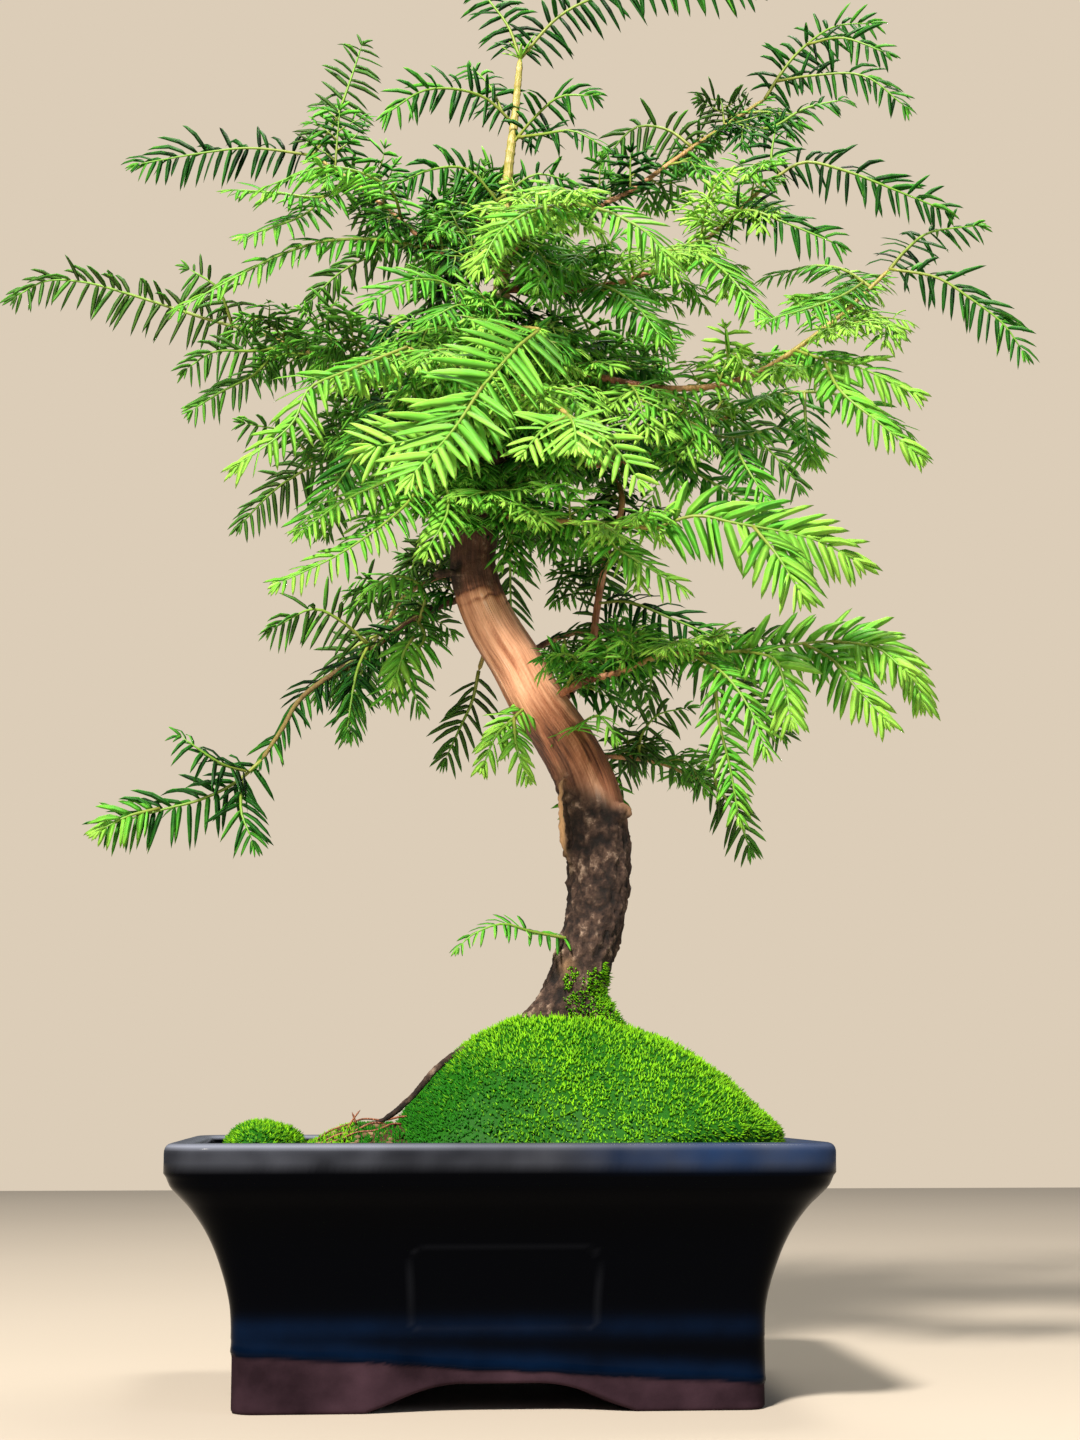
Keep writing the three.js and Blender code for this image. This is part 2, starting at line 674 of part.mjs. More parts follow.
// A round limb along a path, its radius running from the first to the last value given.
function limb(path, radii, sides, steps, grow = 0) {
  const curve = curveThrough(path);
  const shares = Array.from({ length: steps + 1 }, (_, i) => i / steps);
  const frames = framesAlong(curve, shares, ASLANT);
  const rings = frames.map(({ at, along, up, side }, i) => {
    const share = (i / steps) * (radii.length - 1);
    const k = Math.min(Math.floor(share), radii.length - 2);
    const radius = THREE.MathUtils.lerp(radii[k], radii[k + 1], share - k) + grow;
    const stretch = i === 0 ? -grow : i === steps ? grow : 0;
    return Array.from({ length: sides }, (_, j) => {
      const angle = (2 * Math.PI * j) / sides;
      return at
        .clone()
        .addScaledVector(along, stretch)
        .addScaledVector(side, radius * Math.cos(angle))
        .addScaledVector(up, radius * Math.sin(angle));
    });
  });
  return loft(rings);
}

function woodSolid(grow = 0) {
  let wood = limb(TRUNK_AXIS, TRUNK_RADII, FACETS.trunkSides, FACETS.trunkSteps, grow);
  for (const { r, path } of Object.values(BRANCHES)) {
    wood = wood.add(limb(path, r, FACETS.limbSides, path.length - 1, grow));
  }
  for (const { r, path } of Object.values(STUBS)) {
    wood = wood.add(limb(path, r, FACETS.limbSides, path.length, grow));
  }
  return wood;
}

// Soil and moss

// A dome over the soil, steeper on its left, down to footZ. `shrink` brings its skin inwards.
function domeSolid(footZ, shrink) {
  const around = shrink ? FACETS.coreSides : FACETS.moundSides;
  const steps = [1, 0.82, 0.6, 0.36, 0.12];
  const rise = MOUND.rise - shrink;
  const ring = (share) =>
    Array.from({ length: around }, (_, i) => {
      const angle = (2 * Math.PI * i) / around;
      const cos = Math.cos(angle);
      const reach = (cos < 0 ? MOUND.left : MOUND.right) - shrink;
      const power = MOUND.roundness - MOUND.skew * cos;
      const lump = shrink ? 0 : MOUND.lump * Math.sin(5 * angle + 7 * share) * share;
      const x = MOUND.x + reach * share * cos;
      const y = MOUND.y + (MOUND.depth - shrink) * share * Math.sin(angle);
      return new THREE.Vector3(x, y, SOIL_TOP + 1 + rise * (1 - share ** power) + lump);
    });
  const foot = ring(1).map((p) => new THREE.Vector3(p.x, p.y, footZ));
  return loft([foot, ...steps.map(ring)]);
}

// A low, slightly uneven hump whose foot is at footZ.
function humpSolid({ x, y, length, depth, rise }, footZ) {
  const around = FACETS.humpSides;
  const rings = HUMP_PROFILE.map(([height, spread]) =>
    Array.from({ length: around }, (_, i) => {
      const angle = (2 * Math.PI * i) / around;
      const reach = spread * (1 + 0.1 * Math.sin(3 * angle + 1));
      const [east, north] = [length * reach * Math.cos(angle), depth * reach * Math.sin(angle)];
      return new THREE.Vector3(x + east, y + north, footZ + rise * height);
    }),
  );
  return loft(rings);
}

function soilSolid(woodClearance) {
  const levels = CAVITY_PROFILE.filter(([z]) => z < SOIL_TOP);
  const lowest = POT_FLOOR + TOUCH_GAP;
  const profile = [[lowest, levels[0][1]], ...levels.slice(1), [SOIL_TOP, POT.wall]];
  let soil = potLoft(profile, -TOUCH_GAP)
    .add(domeSolid(SOIL_TOP - 2, MOUND.mossDepth))
    .add(humpSolid(SOIL_RISE, SOIL_TOP - 1));
  for (const side of [-1, 1]) {
    const recess = box(SCREEN.side + 1, SCREEN.side + 1, 2 * (SCREEN.thick + TOUCH_GAP));
    soil = soil.subtract(solidFromGeometry(recess.translate((side * POT.drainSpacing) / 2, 0, lowest)));
  }
  return soil.subtract(woodClearance);
}

function mossSolid(woodClearance) {
  const core = domeSolid(SOIL_TOP - 3, MOUND.mossDepth - TOUCH_GAP);
  const { length, depth } = SOIL_RISE;
  const besideRise = { ...SOIL_RISE, length: length + TOUCH_GAP, depth: depth + TOUCH_GAP };
  return domeSolid(SOIL_TOP + TOUCH_GAP, 0)
    .subtract(core)
    .subtract(humpSolid(besideRise, SOIL_TOP - 1 + TOUCH_GAP))
    .subtract(woodClearance);
}

// Leafy sprays

// Repeatable random numbers from 0 to 1.
function randomFrom(seed) {
  let state = seed;
  return () => {
    state = (state + 0x6d2b79f5) | 0;
    let t = Math.imul(state ^ (state >>> 15), 1 | state);
    t = (t + Math.imul(t ^ (t >>> 7), 61 | t)) ^ t;
    return ((t ^ (t >>> 14)) >>> 0) / 4294967296;
  };
}

// How near two straight slim things come: the clear distance left between their tapering sides.
function clearance(one, other) {
  const d1 = new THREE.Vector3().subVectors(one.to, one.from);
  const d2 = new THREE.Vector3().subVectors(other.to, other.from);
  const r = new THREE.Vector3().subVectors(one.from, other.from);
  const [a, e, f] = [d1.dot(d1), d2.dot(d2), d2.dot(r)];
  const [b, c] = [d1.dot(d2), d1.dot(r)];
  const denominator = a * e - b * b;
  let s = denominator > 1e-9 ? THREE.MathUtils.clamp((b * f - c * e) / denominator, 0, 1) : 0;
  let t = (b * s + f) / e;
  if (t < 0 || t > 1) {
    t = THREE.MathUtils.clamp(t, 0, 1);
    s = THREE.MathUtils.clamp((b * t - c) / a, 0, 1);
  }
  const gap = r.addScaledVector(d1, s).addScaledVector(d2, -t).length();
  const radiusOne = THREE.MathUtils.lerp(one.radii[0], one.radii[1], s);
  return gap - radiusOne - THREE.MathUtils.lerp(other.radii[0], other.radii[1], t);
}

function farApart(one, other) {
  const reach = one.from.distanceTo(one.to) + other.from.distanceTo(other.to);
  return one.from.distanceTo(other.from) > reach + 16;
}

// Straight lengths that stand for a limb or stem when needles are kept clear of it.
function lengthsOf(path, radii, steps, owner) {
  const curve = curveThrough(path);
  return Array.from({ length: steps }, (_, i) => ({
    from: curve.getPointAt(i / steps),
    to: curve.getPointAt((i + 1) / steps),
    radii: [0, 1].map((k) => radii[Math.round(((i + k) / steps) * (radii.length - 1))]),
    owner,
  }));
}

function woodLengths() {
  const trunk = lengthsOf(TRUNK_AXIS, TRUNK_RADII, 30, "wood");
  const limbs = [...Object.values(BRANCHES), ...Object.values(STUBS)];
  return [...trunk, ...limbs.flatMap(({ r, path }) => lengthsOf(path, [Math.max(...r)], 10, "wood"))];
}

// Every shoot of every spray: its curve, starting on the axis of what carries it.
function layOutShoots() {
  const shoots = [];
  for (const [spray, { on, at, leaf, stem, faces, forks = [] }] of Object.entries(SPRAYS)) {
    const carrier = on === "trunk" ? TRUNK_AXIS : BRANCHES[on].path;
    const main = curveThrough([curveThrough(carrier).getPointAt(at).toArray(), ...stem]);
    shoots.push({ spray, leaf, curve: main, faces: faces ? new THREE.Vector3(...faces) : facing(main) });
    for (const { from, path } of forks) {
      const start = main.getPointAt(from).toArray();
      const fork = curveThrough([start, ...path]);
      shoots.push({ spray, leaf: NEEDLE.onForks * leaf, curve: fork, faces: facing(fork) });
    }
  }
  return shoots;
}

// Needle length along a shoot: short at its foot, longest midway, short again at its end.
const leafShare = (share) => 0.45 + 0.55 * Math.sin(Math.PI * (0.12 + 0.8 * share)) ** 0.8;

// A shoot holds its two rows of needles flat, tilted from level towards the side of the tree it hangs on.
function facing(curve) {
  const outward = Math.sign(curve.getPointAt(0.5).y - TRUNK.at(-1)[1]) || 1;
  return new THREE.Vector3(0, outward * NEEDLE.tilt, 1 - NEEDLE.tilt).normalize();
}

// The frames where needle pairs stand, with a slim band of stem for each pair.
function pairFrames(shoot) {
  const length = shoot.curve.getLength();
  const count = Math.max(2, Math.round((length - NEEDLE.bareStem) / NEEDLE.spacing));
  const shares = [0];
  for (let i = 0; i < count; i++) {
    const middle = NEEDLE.bareStem + (i + 0.5) * ((length - NEEDLE.bareStem) / count);
    shares.push((middle - NEEDLE.width / 2) / length, (middle + NEEDLE.width / 2) / length);
  }
  return framesAlong(shoot.curve, shares, shoot.faces);
}

// One needle as a straight tapering length, from the side of the stem to its point.
function needleFrom(frame, sign, share, leaf, bend, shorten) {
  const angle = THREE.MathUtils.degToRad(
    THREE.MathUtils.lerp(NEEDLE.angleAtBase, NEEDLE.angleAtTip, share) + bend.spread,
  );
  const direction = frame.along.clone().multiplyScalar(Math.cos(angle));
  direction.addScaledVector(frame.side, sign * Math.sin(angle));
  direction.addScaledVector(frame.up, bend.lift);
  direction.z -= NEEDLE.droop;
  direction.normalize();
  const from = frame.at.clone().addScaledVector(frame.side, (sign * STEM.radius) / 2);
  return {
    from,
    to: from.clone().addScaledVector(direction, leaf * leafShare(share) * shorten),
    radii: [NEEDLE.width / 2, 0.1],
  };
}

// Ways to hold a needle, from its natural one to ones bent or shortened to pass what is in its way.
// Each adds degrees to its angle and a share to its lift, and keeps a share of its length.
const HOLDS = [
  [0, 0, 1], [0, -0.3, 1], [0, 0.3, 1], [-14, 0, 1], [0, -0.6, 0.9], [0, 0.55, 0.9], [-10, 0, 0.62],
];

function growNeedles(shoots) {
  const random = randomFrom(7);
  const wood = woodLengths();
  const stems = shoots.flatMap(({ curve }, index) => {
    const points = curve.getSpacedPoints(12).map((p) => p.toArray());
    return lengthsOf(points, [STEM.radius], 14, index);
  });
  const needles = [];
  const clears = (needle, other, least) => farApart(needle, other) || clearance(needle, other) > least;
  const free = (needle, shoot) =>
    wood.every((length) => clears(needle, length, NEEDLE.clearOfWood)) &&
    stems.every((length) => length.owner === shoot || clears(needle, length, NEEDLE.clearOfStems)) &&
    needles.every((other) => clears(needle, other, TOUCH_GAP));
  shoots.forEach((shoot, index) => {
    shoot.frames = pairFrames(shoot);
    shoot.needles = new Map();
    const count = (shoot.frames.length - 1) / 2;
    for (let pair = 0; pair < count; pair++) {
      const [low, high] = [shoot.frames[1 + 2 * pair], shoot.frames[2 + 2 * pair]];
      const middle = { ...low, at: low.at.clone().lerp(high.at, 0.5) };
      for (const sign of [-1, 1]) {
        const vary = {
          spread: NEEDLE.angleVaries * (random() - 0.5),
          lift: NEEDLE.liftVaries * (random() - 0.5),
        };
        const leaf = shoot.leaf * (1 + NEEDLE.lengthVaries * (random() - 0.5));
        for (const [spread, lift, shorten] of HOLDS) {
          const bend = { spread: vary.spread + spread, lift: vary.lift + lift };
          const needle = needleFrom(middle, sign, (pair + 0.5) / count, leaf, bend, shorten);
          if (!free(needle, index)) continue;
          needles.push(needle);
          shoot.needles.set(`${pair},${sign}`, needle.to);
          break;
        }
      }
    }
  });
}

// A three-sided stem with a needle drawn out of each band of its two upper faces, closing to a point.
function shootSolid({ curve, frames, needles }) {
  const corners = [90, 210, 330].map(THREE.MathUtils.degToRad);
  const positions = frames.flatMap(({ at, side, up }) =>
    corners.flatMap((angle) =>
      at
        .clone()
        .addScaledVector(side, STEM.radius * Math.cos(angle))
        .addScaledVector(up, STEM.radius * Math.sin(angle))
        .toArray(),
    ),
  );
  const addPoint = (point) => positions.push(...point.toArray()) / 3 - 1;
  const triangles = [0, 2, 1];
  for (let band = 0; band + 1 < frames.length; band++) {
    for (let face = 0; face < 3; face++) {
      const a = band * 3 + face;
      const b = band * 3 + ((face + 1) % 3);
      const sign = face === 0 ? -1 : 1;
      const tip = band % 2 === 1 && face !== 1 ? needles.get(`${(band - 1) / 2},${sign}`) : undefined;
      if (tip) {
        const point = addPoint(tip);
        triangles.push(a, b, point, b, b + 3, point, b + 3, a + 3, point, a + 3, a, point);
      } else {
        triangles.push(a, b, b + 3, a, b + 3, a + 3);
      }
    }
  }
  const end = addPoint(curve.getPointAt(1).addScaledVector(curve.getTangentAt(1), STEM.tip));
  const last = (frames.length - 1) * 3;
  for (let face = 0; face < 3; face++) triangles.push(last + face, last + ((face + 1) % 3), end);
  return solidFrom(positions, triangles);
}

// The largest body of a solid, without the scraps that a cut may leave.
function largestBody(solid) {
  const bodies = solid.decompose();
  return bodies.reduce((best, body) => (body.volume() > best.volume() ? body : best));
}

function addSprays(woodClearance) {
  const shoots = layOutShoots();
  growNeedles(shoots);
  for (const spray of Object.keys(SPRAYS)) {
    const solids = shoots.filter((shoot) => shoot.spray === spray).map(shootSolid);
    const joined = solids.reduce((all, next) => all.add(next));
    addPiece(`spray_${spray}`, largestBody(joined.subtract(woodClearance)), COLOURS.needles);
  }
}

// Assembly, from the pot upwards

const woodClearance = woodSolid(WOOD_GAP);
addPiece("pot", potSolid(), COLOURS.pot);
addPiece("drain_screen_left", drainScreen(-1), COLOURS.screen);
addPiece("drain_screen_right", drainScreen(1), COLOURS.screen);
addPiece("soil", soilSolid(woodClearance), COLOURS.soil);
addPiece("moss_mound", largestBody(mossSolid(woodClearance)), COLOURS.moss);
addPiece("moss_tuft", humpSolid(TUFT, SOIL_TOP + TOUCH_GAP), COLOURS.moss);
addPiece("trunk_and_branches", woodSolid(), COLOURS.wood);
addSprays(woodClearance);

export default part;
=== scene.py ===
"""A dawn redwood bonsai in its glazed clay pot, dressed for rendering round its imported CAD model.

Sizes are in millimetres until a mesh is made, and +Z is up, with the pot's front facing -Y.
"""

import math

import bpy
import numpy as np
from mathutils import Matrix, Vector, noise
from mathutils.kdtree import KDTree


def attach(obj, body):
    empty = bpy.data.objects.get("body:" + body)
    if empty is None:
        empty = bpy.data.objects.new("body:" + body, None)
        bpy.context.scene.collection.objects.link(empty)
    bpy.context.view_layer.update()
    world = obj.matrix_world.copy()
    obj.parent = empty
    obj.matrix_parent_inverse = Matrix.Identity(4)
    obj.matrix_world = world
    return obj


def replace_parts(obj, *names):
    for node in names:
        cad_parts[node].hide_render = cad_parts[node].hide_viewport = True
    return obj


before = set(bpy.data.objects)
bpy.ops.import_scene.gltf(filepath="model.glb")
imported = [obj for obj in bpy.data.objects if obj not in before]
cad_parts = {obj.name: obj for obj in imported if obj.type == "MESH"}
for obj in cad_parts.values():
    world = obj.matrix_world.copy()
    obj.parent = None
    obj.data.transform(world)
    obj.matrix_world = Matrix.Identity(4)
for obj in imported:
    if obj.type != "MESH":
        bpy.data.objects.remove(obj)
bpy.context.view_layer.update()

MM = 0.001  # metres


# Camera, floor and light
#
# The camera stands 780 mm in front of the pot, a little above its rim, and looks up into the crown. A pale floor
# under a pale sky, one broad lamp high on the left and a weaker one on the right give plain studio light.


def linear(hex_colour):
    """An sRGB colour such as "#8a5a40" as a linear RGBA value."""
    channels = [int(hex_colour[i : i + 2], 16) / 255 for i in (1, 3, 5)]
    return (*[c / 12.92 if c <= 0.04045 else ((c + 0.055) / 1.055) ** 2.4 for c in channels], 1)


def add_node(tree, kind, inputs=None, out=None, stops=(), **settings):
    """Adds a node with its settings, and gives each input its number, its colour or the socket that feeds it.

    Returns the output called `out`, or else the first in use. A colour ramp's stops are places and colours.
    """
    node = tree.nodes.new(kind)
    for setting, value in settings.items():
        setattr(node, setting, value)
    for key, value in (inputs or {}).items():
        named = [socket for socket in node.inputs if socket.enabled and socket.name == key]
        socket = named[0] if named else node.inputs[key]
        if isinstance(value, bpy.types.NodeSocket):
            tree.links.new(value, socket)
        else:
            socket.default_value = linear(value) if isinstance(value, str) else value
    for number, (place, colour) in enumerate(stops):
        element = node.color_ramp.elements[number] if number < 2 else node.color_ramp.elements.new(place)
        element.position, element.color = place, linear(colour)
    return node.outputs[out] if out else next(socket for socket in node.outputs if socket.enabled)


def new_material(name, looks=None, **surface):
    """A material whose Principled shader has these inputs. `looks` builds the nodes that feed it, from its tree."""
    material = bpy.data.materials.new(name)
    material.use_nodes = True
    tree = material.node_tree
    shader = tree.nodes["Principled BSDF"]
    for key, value in {**surface, **(looks(tree) if looks else {})}.items():
        if isinstance(value, bpy.types.NodeSocket):
            tree.links.new(value, shader.inputs[key])
        else:
            shader.inputs[key].default_value = value
    return material


# In millimetres and degrees, from the ground under the middle of the pot
CAMERA = {"away": 780, "right": 16, "up": 94.5, "tilt": 9.07, "turn": -4.5, "lens": 58.5, "sensor": 36}
camera_turn = math.radians(CAMERA["turn"])
camera = bpy.data.objects.new("camera", bpy.data.cameras.new("camera"))
bpy.context.scene.collection.objects.link(camera)
back = Vector((math.sin(camera_turn), -math.cos(camera_turn), 0))
rightwards = Vector((math.cos(camera_turn), math.sin(camera_turn), 0))
camera.location = (CAMERA["away"] * back + CAMERA["right"] * rightwards + Vector((0, 0, CAMERA["up"]))) * MM
camera.rotation_euler = (math.radians(90 + CAMERA["tilt"]), 0, camera_turn)
camera.data.lens, camera.data.sensor_width = CAMERA["lens"], CAMERA["sensor"]
bpy.context.scene.camera = camera


def add_lamp(name, place, target, size, power, colour):
    """A square area lamp that shines from a place at a target, in metres."""
    data = bpy.data.lights.new(name, "AREA")
    data.size, data.energy, data.color = size, power, linear(colour)[:3]
    lamp = bpy.data.objects.new(name, data)
    lamp.location = place
    lamp.rotation_euler = (Vector(target) - Vector(place)).to_track_quat("-Z", "Y").to_euler()
    bpy.context.scene.collection.objects.link(lamp)


add_lamp("key_lamp", (-0.62, -1.35, 1.55), (0, 0, 0.28), 0.26, 90, "#fff6ea")
add_lamp("side_lamp", (1.5, -0.9, 0.7), (0, 0, 0.25), 0.8, 4, "#eaf2ff")
add_lamp("top_lamp", (0.3, 0.5, 1.9), (0, 0, 0.3), 0.5, 16, "#fff8ea")

# The sky that is seen is paler than the one that lights the tree, so that shadows stay deep.
world = bpy.data.worlds.new("pale_sky")
world.use_nodes = True
sky = world.node_tree
lighting = sky.nodes["Background"]
lighting.inputs["Color"].default_value = linear("#dfe4ea")
lighting.inputs["Strength"].default_value = 0.16
seen = add_node(sky, "ShaderNodeLightPath", out="Is Camera Ray")
pale = add_node(sky, "ShaderNodeBackground", {"Color": "#dccdb8", "Strength": 1.0})
mixed = add_node(sky, "ShaderNodeMixShader", {0: seen, 1: lighting.outputs[0], 2: pale})
sky.links.new(mixed, sky.nodes["World Output"].inputs["Surface"])
bpy.context.scene.world = world
bpy.context.scene.view_settings.view_transform = "Standard"

FLOOR_HALF = 1.6  # metres


def floor_looks(tree):
    place = add_node(tree, "ShaderNodeTexCoord", out="Object")
    cloud = add_node(tree, "ShaderNodeTexNoise", {"Vector": place, "Scale": 2})
    colour = add_node(tree, "ShaderNodeMix", {"Factor": cloud, "A": "#bdb3a5", "B": "#c8beb0"}, data_type="RGBA")
    return {"Base Color": colour}


floor_mesh = bpy.data.meshes.new("floor")
corners = [(x * FLOOR_HALF, y * FLOOR_HALF, 0) for x, y in ((-1, -1), (1, -1), (1, 1), (-1, 1))]
floor_mesh.from_pydata(corners, [], [(0, 1, 2, 3)])
floor_mesh.materials.append(new_material("painted_board", floor_looks, Roughness=0.8))
floor = bpy.data.objects.new("floor", floor_mesh)
bpy.context.scene.collection.objects.link(floor)


# Pot
#
# One piece of purple-brown stoneware, pressed in a mould and fired: a rim band, a hollow-curved flare, straight
# walls, and corner feet left by low arches. Its outside is glazed black down to a slanting line above the feet,
# where the glaze ran thick and turned blue. A thin raised line frames a plain panel on its front.

POT_LENGTH, POT_WIDTH, POT_CORNER = 203, 152, 14
POT_FLOOR, POT_UNDERSIDE = 14.5, 8.7
FOOT_WIDTH, FOOT_ROUNDING = 12, 1.2
FRONT_ARCH, END_ARCH = (11, 41), (7.5, 28)  # half widths of the flat top, and at the ground
ARCH_TOP, ARCH_LIP = 8.5, 0.4
DRAIN_HOLE, DRAIN_SPACING = 20, 76
RING_COUNTS = (84, 40, 9)  # points along a long side, a short side and round a corner


def spline(points, step):
    """Points about a step apart, evenly spaced along a smooth curve through the given ones."""
    p = np.array(points, float)
    p = np.vstack([2 * p[0] - p[1], p, 2 * p[-1] - p[-2]])
    dense = [p[1][None]]
    for p0, p1, p2, p3 in zip(p, p[1:], p[2:], p[3:]):
        a, b, c = [max(np.linalg.norm(v), 1e-6) ** 0.5 for v in (p1 - p0, p2 - p1, p3 - p2)]
        start = b * ((p1 - p0) / a - (p2 - p0) / (a + b) + (p2 - p1) / b)
        end = b * ((p2 - p1) / b - (p3 - p1) / (b + c) + (p3 - p2) / c)
        t = np.linspace(0, 1, 25)[1:, None]
        cubic = (2 * p1 - 2 * p2 + start + end) * t**3 + (3 * p2 - 3 * p1 - 2 * start - end) * t**2
        dense.append(cubic + start * t + p1)
    dense = np.vstack(dense)
    travelled = np.r_[0, np.cumsum(np.linalg.norm(np.diff(dense, axis=0), axis=1))]
    even = np.linspace(0, travelled[-1], max(2, round(travelled[-1] / step) + 1))
    return np.column_stack([np.interp(even, travelled, dense[:, k]) for k in range(dense.shape[1])])


def smoothstep(low, high, values):
    share = np.clip((values - low) / (high - low), 0, 1)
    return share * share * (3 - 2 * share)


def noise_at(points, grain, octaves=2):
    """Cloudy noise from about -1 to 1 at each point, its lumps about `grain` across."""
    return np.array([noise.fractal(Vector(p) / grain, 1, 2, octaves) for p in points.tolist()])


def unit(vectors):
    """The same directions, each at a length of 1."""
    return vectors / np.linalg.norm(vectors, axis=-1, keepdims=True)


def circle(count):
    """So many angles, evenly spread round a circle from 0."""
    return np.linspace(0, 2 * np.pi, count + 1)[:-1]


def pot_ring(inset, counts=RING_COUNTS):
    """The pot's rounded outline in plan, so far inside the rim band's, counter-clockwise."""
    on_long, on_short, on_corner = counts
    radius = max(POT_CORNER - 0.35 * inset, 4)
    centre = np.array([POT_LENGTH / 2, POT_WIDTH / 2]) - inset - radius
    signs = np.array([(1, 1), (-1, 1), (-1, -1), (1, -1)])
    arcs = []
    for corner, sign in enumerate(signs):
        angles = np.pi / 2 * (corner + np.linspace(0, 1, on_corner))
        arcs.append(sign * centre + radius * np.column_stack([np.cos(angles), np.sin(angles)]))
    outline = []
    for corner in range(4):
        count = on_long if corner % 2 == 0 else on_short
        shares = np.linspace(0, 1, count + 2)[1:-1, None]
        outline += [arcs[corner], arcs[corner][-1] * (1 - shares) + arcs[(corner + 1) % 4][0] * shares]
    return np.vstack(outline)


def arch_height(offset, arch):
    """How high the foot line stands at an offset from the middle of a side."""
    flat, ground = arch
    t = np.linspace(0, 1, 40)
    handles = [(ground, ARCH_LIP), (ground - 8, 2), (flat + 14, ARCH_TOP), (flat, ARCH_TOP)]
    weights = [(1 - t) ** 3, 3 * t * (1 - t) ** 2, 3 * t**2 * (1 - t), t**3]
    across, height = [sum(w * h[k] for w, h in zip(weights, handles)) for k in (0, 1)]
    line = np.interp(offset, across[::-1], height[::-1])
    return np.where(offset > ground, 0, line)


def quads_between(rows, columns, start=0):
    """Faces of a grid of points stored row by row, each row a closed ring."""
    r, c = np.meshgrid(np.arange(rows - 1), np.arange(columns), indexing="ij")
    here = start + r * columns + c
    beside = start + r * columns + (c + 1) % columns
    return np.stack([here, beside, beside + columns, here + columns], axis=-1).reshape(-1, 4)


def lids(columns, top):
    """The end faces of stacked rings: the first ring's, and that of the ring whose points start at `top`."""
    return [list(reversed(range(columns))), list(range(top, top + columns))]


def make_piece(name, points, faces, materials, marks=None):
    """A smooth mesh piece from points in millimetres. Each mark names a number or a place for every point.

    Faces come in groups, and each group takes the material of its place, or the last one.
    """
    mesh = bpy.data.meshes.new(name)
    mesh.from_pydata((np.asarray(points) * MM).tolist(), [], [f for group in faces for f in group])
    for mark, values in (marks or {}).items():
        values = np.asarray(values, np.float32)
        kind, field = ("FLOAT_VECTOR", "vector") if values.ndim == 2 else ("FLOAT", "value")
        mesh.attributes.new(mark, kind, "POINT").data.foreach_set(field, values.ravel())
    for material in materials:
        mesh.materials.append(material)
    if len(materials) > 1:
        wears = [min(k, len(materials) - 1) for k, group in enumerate(faces) for _ in group]
        mesh.polygons.foreach_set("material_index", wears)
    mesh.shade_smooth()
    piece = bpy.data.objects.new(name, mesh)
    bpy.context.scene.collection.objects.link(piece)
    return piece


flare = [(71, 0), (70, 0.7), (67, 2), (64, 4.6), (61, 7.4), (55, 11.6), (49, 14.6), (43, 16.8), (37, 18.6)]
flare += [(31, 19.8), (25, 20.2), (22, 20.2)]
cavity = [(POT_FLOOR, 27.4), (40, 26.4), (50, 22.4), (60, 14.6), (66, 9.6), (72, 7.2), (78.4, 7)]
rim = [(79.3, 6.7), (79.85, 5.9), (80, 4.9), (80, 3.2), (79.85, 1.9), (79.4, 0.9), (78.6, 0.3), (77.6, 0), (74.4, 0)]
wall = np.vstack([spline(cavity, 5), spline(rim, 0.8), spline(flare, 1.4)])
first_outer = len(spline(cavity, 5))

columns = len(pot_ring(0))
foot_inset, foot_top = 20.3, 22
outline = pot_ring(foot_inset)
on_long_side = np.abs(outline[:, 1]) > POT_WIDTH / 2 - foot_inset - 0.01
on_short_side = np.abs(outline[:, 0]) > POT_LENGTH / 2 - foot_inset - 0.01
foot_line = np.where(on_long_side, arch_height(np.abs(outline[:, 0]), FRONT_ARCH), 0)
foot_line = np.where(on_short_side, arch_height(np.abs(outline[:, 1]), END_ARCH), foot_line)

rows = [(np.full(columns, z), inset) for z, inset in wall]
for share in np.linspace(1, 0, 26)[1:-1]:
    rows.append((foot_line + FOOT_ROUNDING + share * (foot_top - foot_line - FOOT_ROUNDING), foot_inset))
turn = np.radians(np.linspace(0, 90, 5))
for angle in turn:
    rows.append((foot_line + FOOT_ROUNDING * (1 - np.sin(angle)), foot_inset + FOOT_ROUNDING * (1 - np.cos(angle))))
inner_rounding = np.minimum(FOOT_ROUNDING, 0.45 * (POT_UNDERSIDE - foot_line))
for angle in turn[::-1]:
    inset = foot_inset + FOOT_WIDTH - FOOT_ROUNDING * (1 - np.cos(angle))
    rows.append((foot_line + inner_rounding * (1 - np.sin(angle)), inset))
rows += [
    (foot_line + share * (POT_UNDERSIDE - foot_line), foot_inset + FOOT_WIDTH) for share in (0.6, 0.8, 0.95)
]
rows += [(np.full(columns, POT_UNDERSIDE), foot_inset + FOOT_WIDTH + ease) for ease in (0.4, 3)]

pot_points = np.vstack([np.column_stack([pot_ring(inset), z]) for z, inset in rows])
last = len(rows) - 1
caps = [list(range(columns)), [last * columns + i for i in reversed(range(columns))]]
x, y, z = pot_points.T
row_of = np.repeat(np.arange(len(rows)), columns)
UNDER_ROWS = 12  # rings from the foot's underside inwards
outside = (row_of >= first_outer) & (row_of < len(rows) - UNDER_ROWS)
outward = unit(pot_points[:, :2])

# The glaze ends on a line that slants down to the right, and is thickest just above it.
glaze_line = 12.2 - 0.0586 * x + 0.7 * np.sin(x / 9) * np.sin(y / 13 + 1) + 0.5 * noise_at(pot_points, 9)
glazed = np.where(row_of >= first_outer - 4, smoothstep(-0.3, 0.4, z - glaze_line), 0)
glazed[row_of >= len(rows) - UNDER_ROWS] = 0
GLAZE_DEPTH = 0.3
glaze_depth = GLAZE_DEPTH * glazed + 0.25 * glazed * np.exp(-(((z - glaze_line - 1) / 1.3) ** 2))

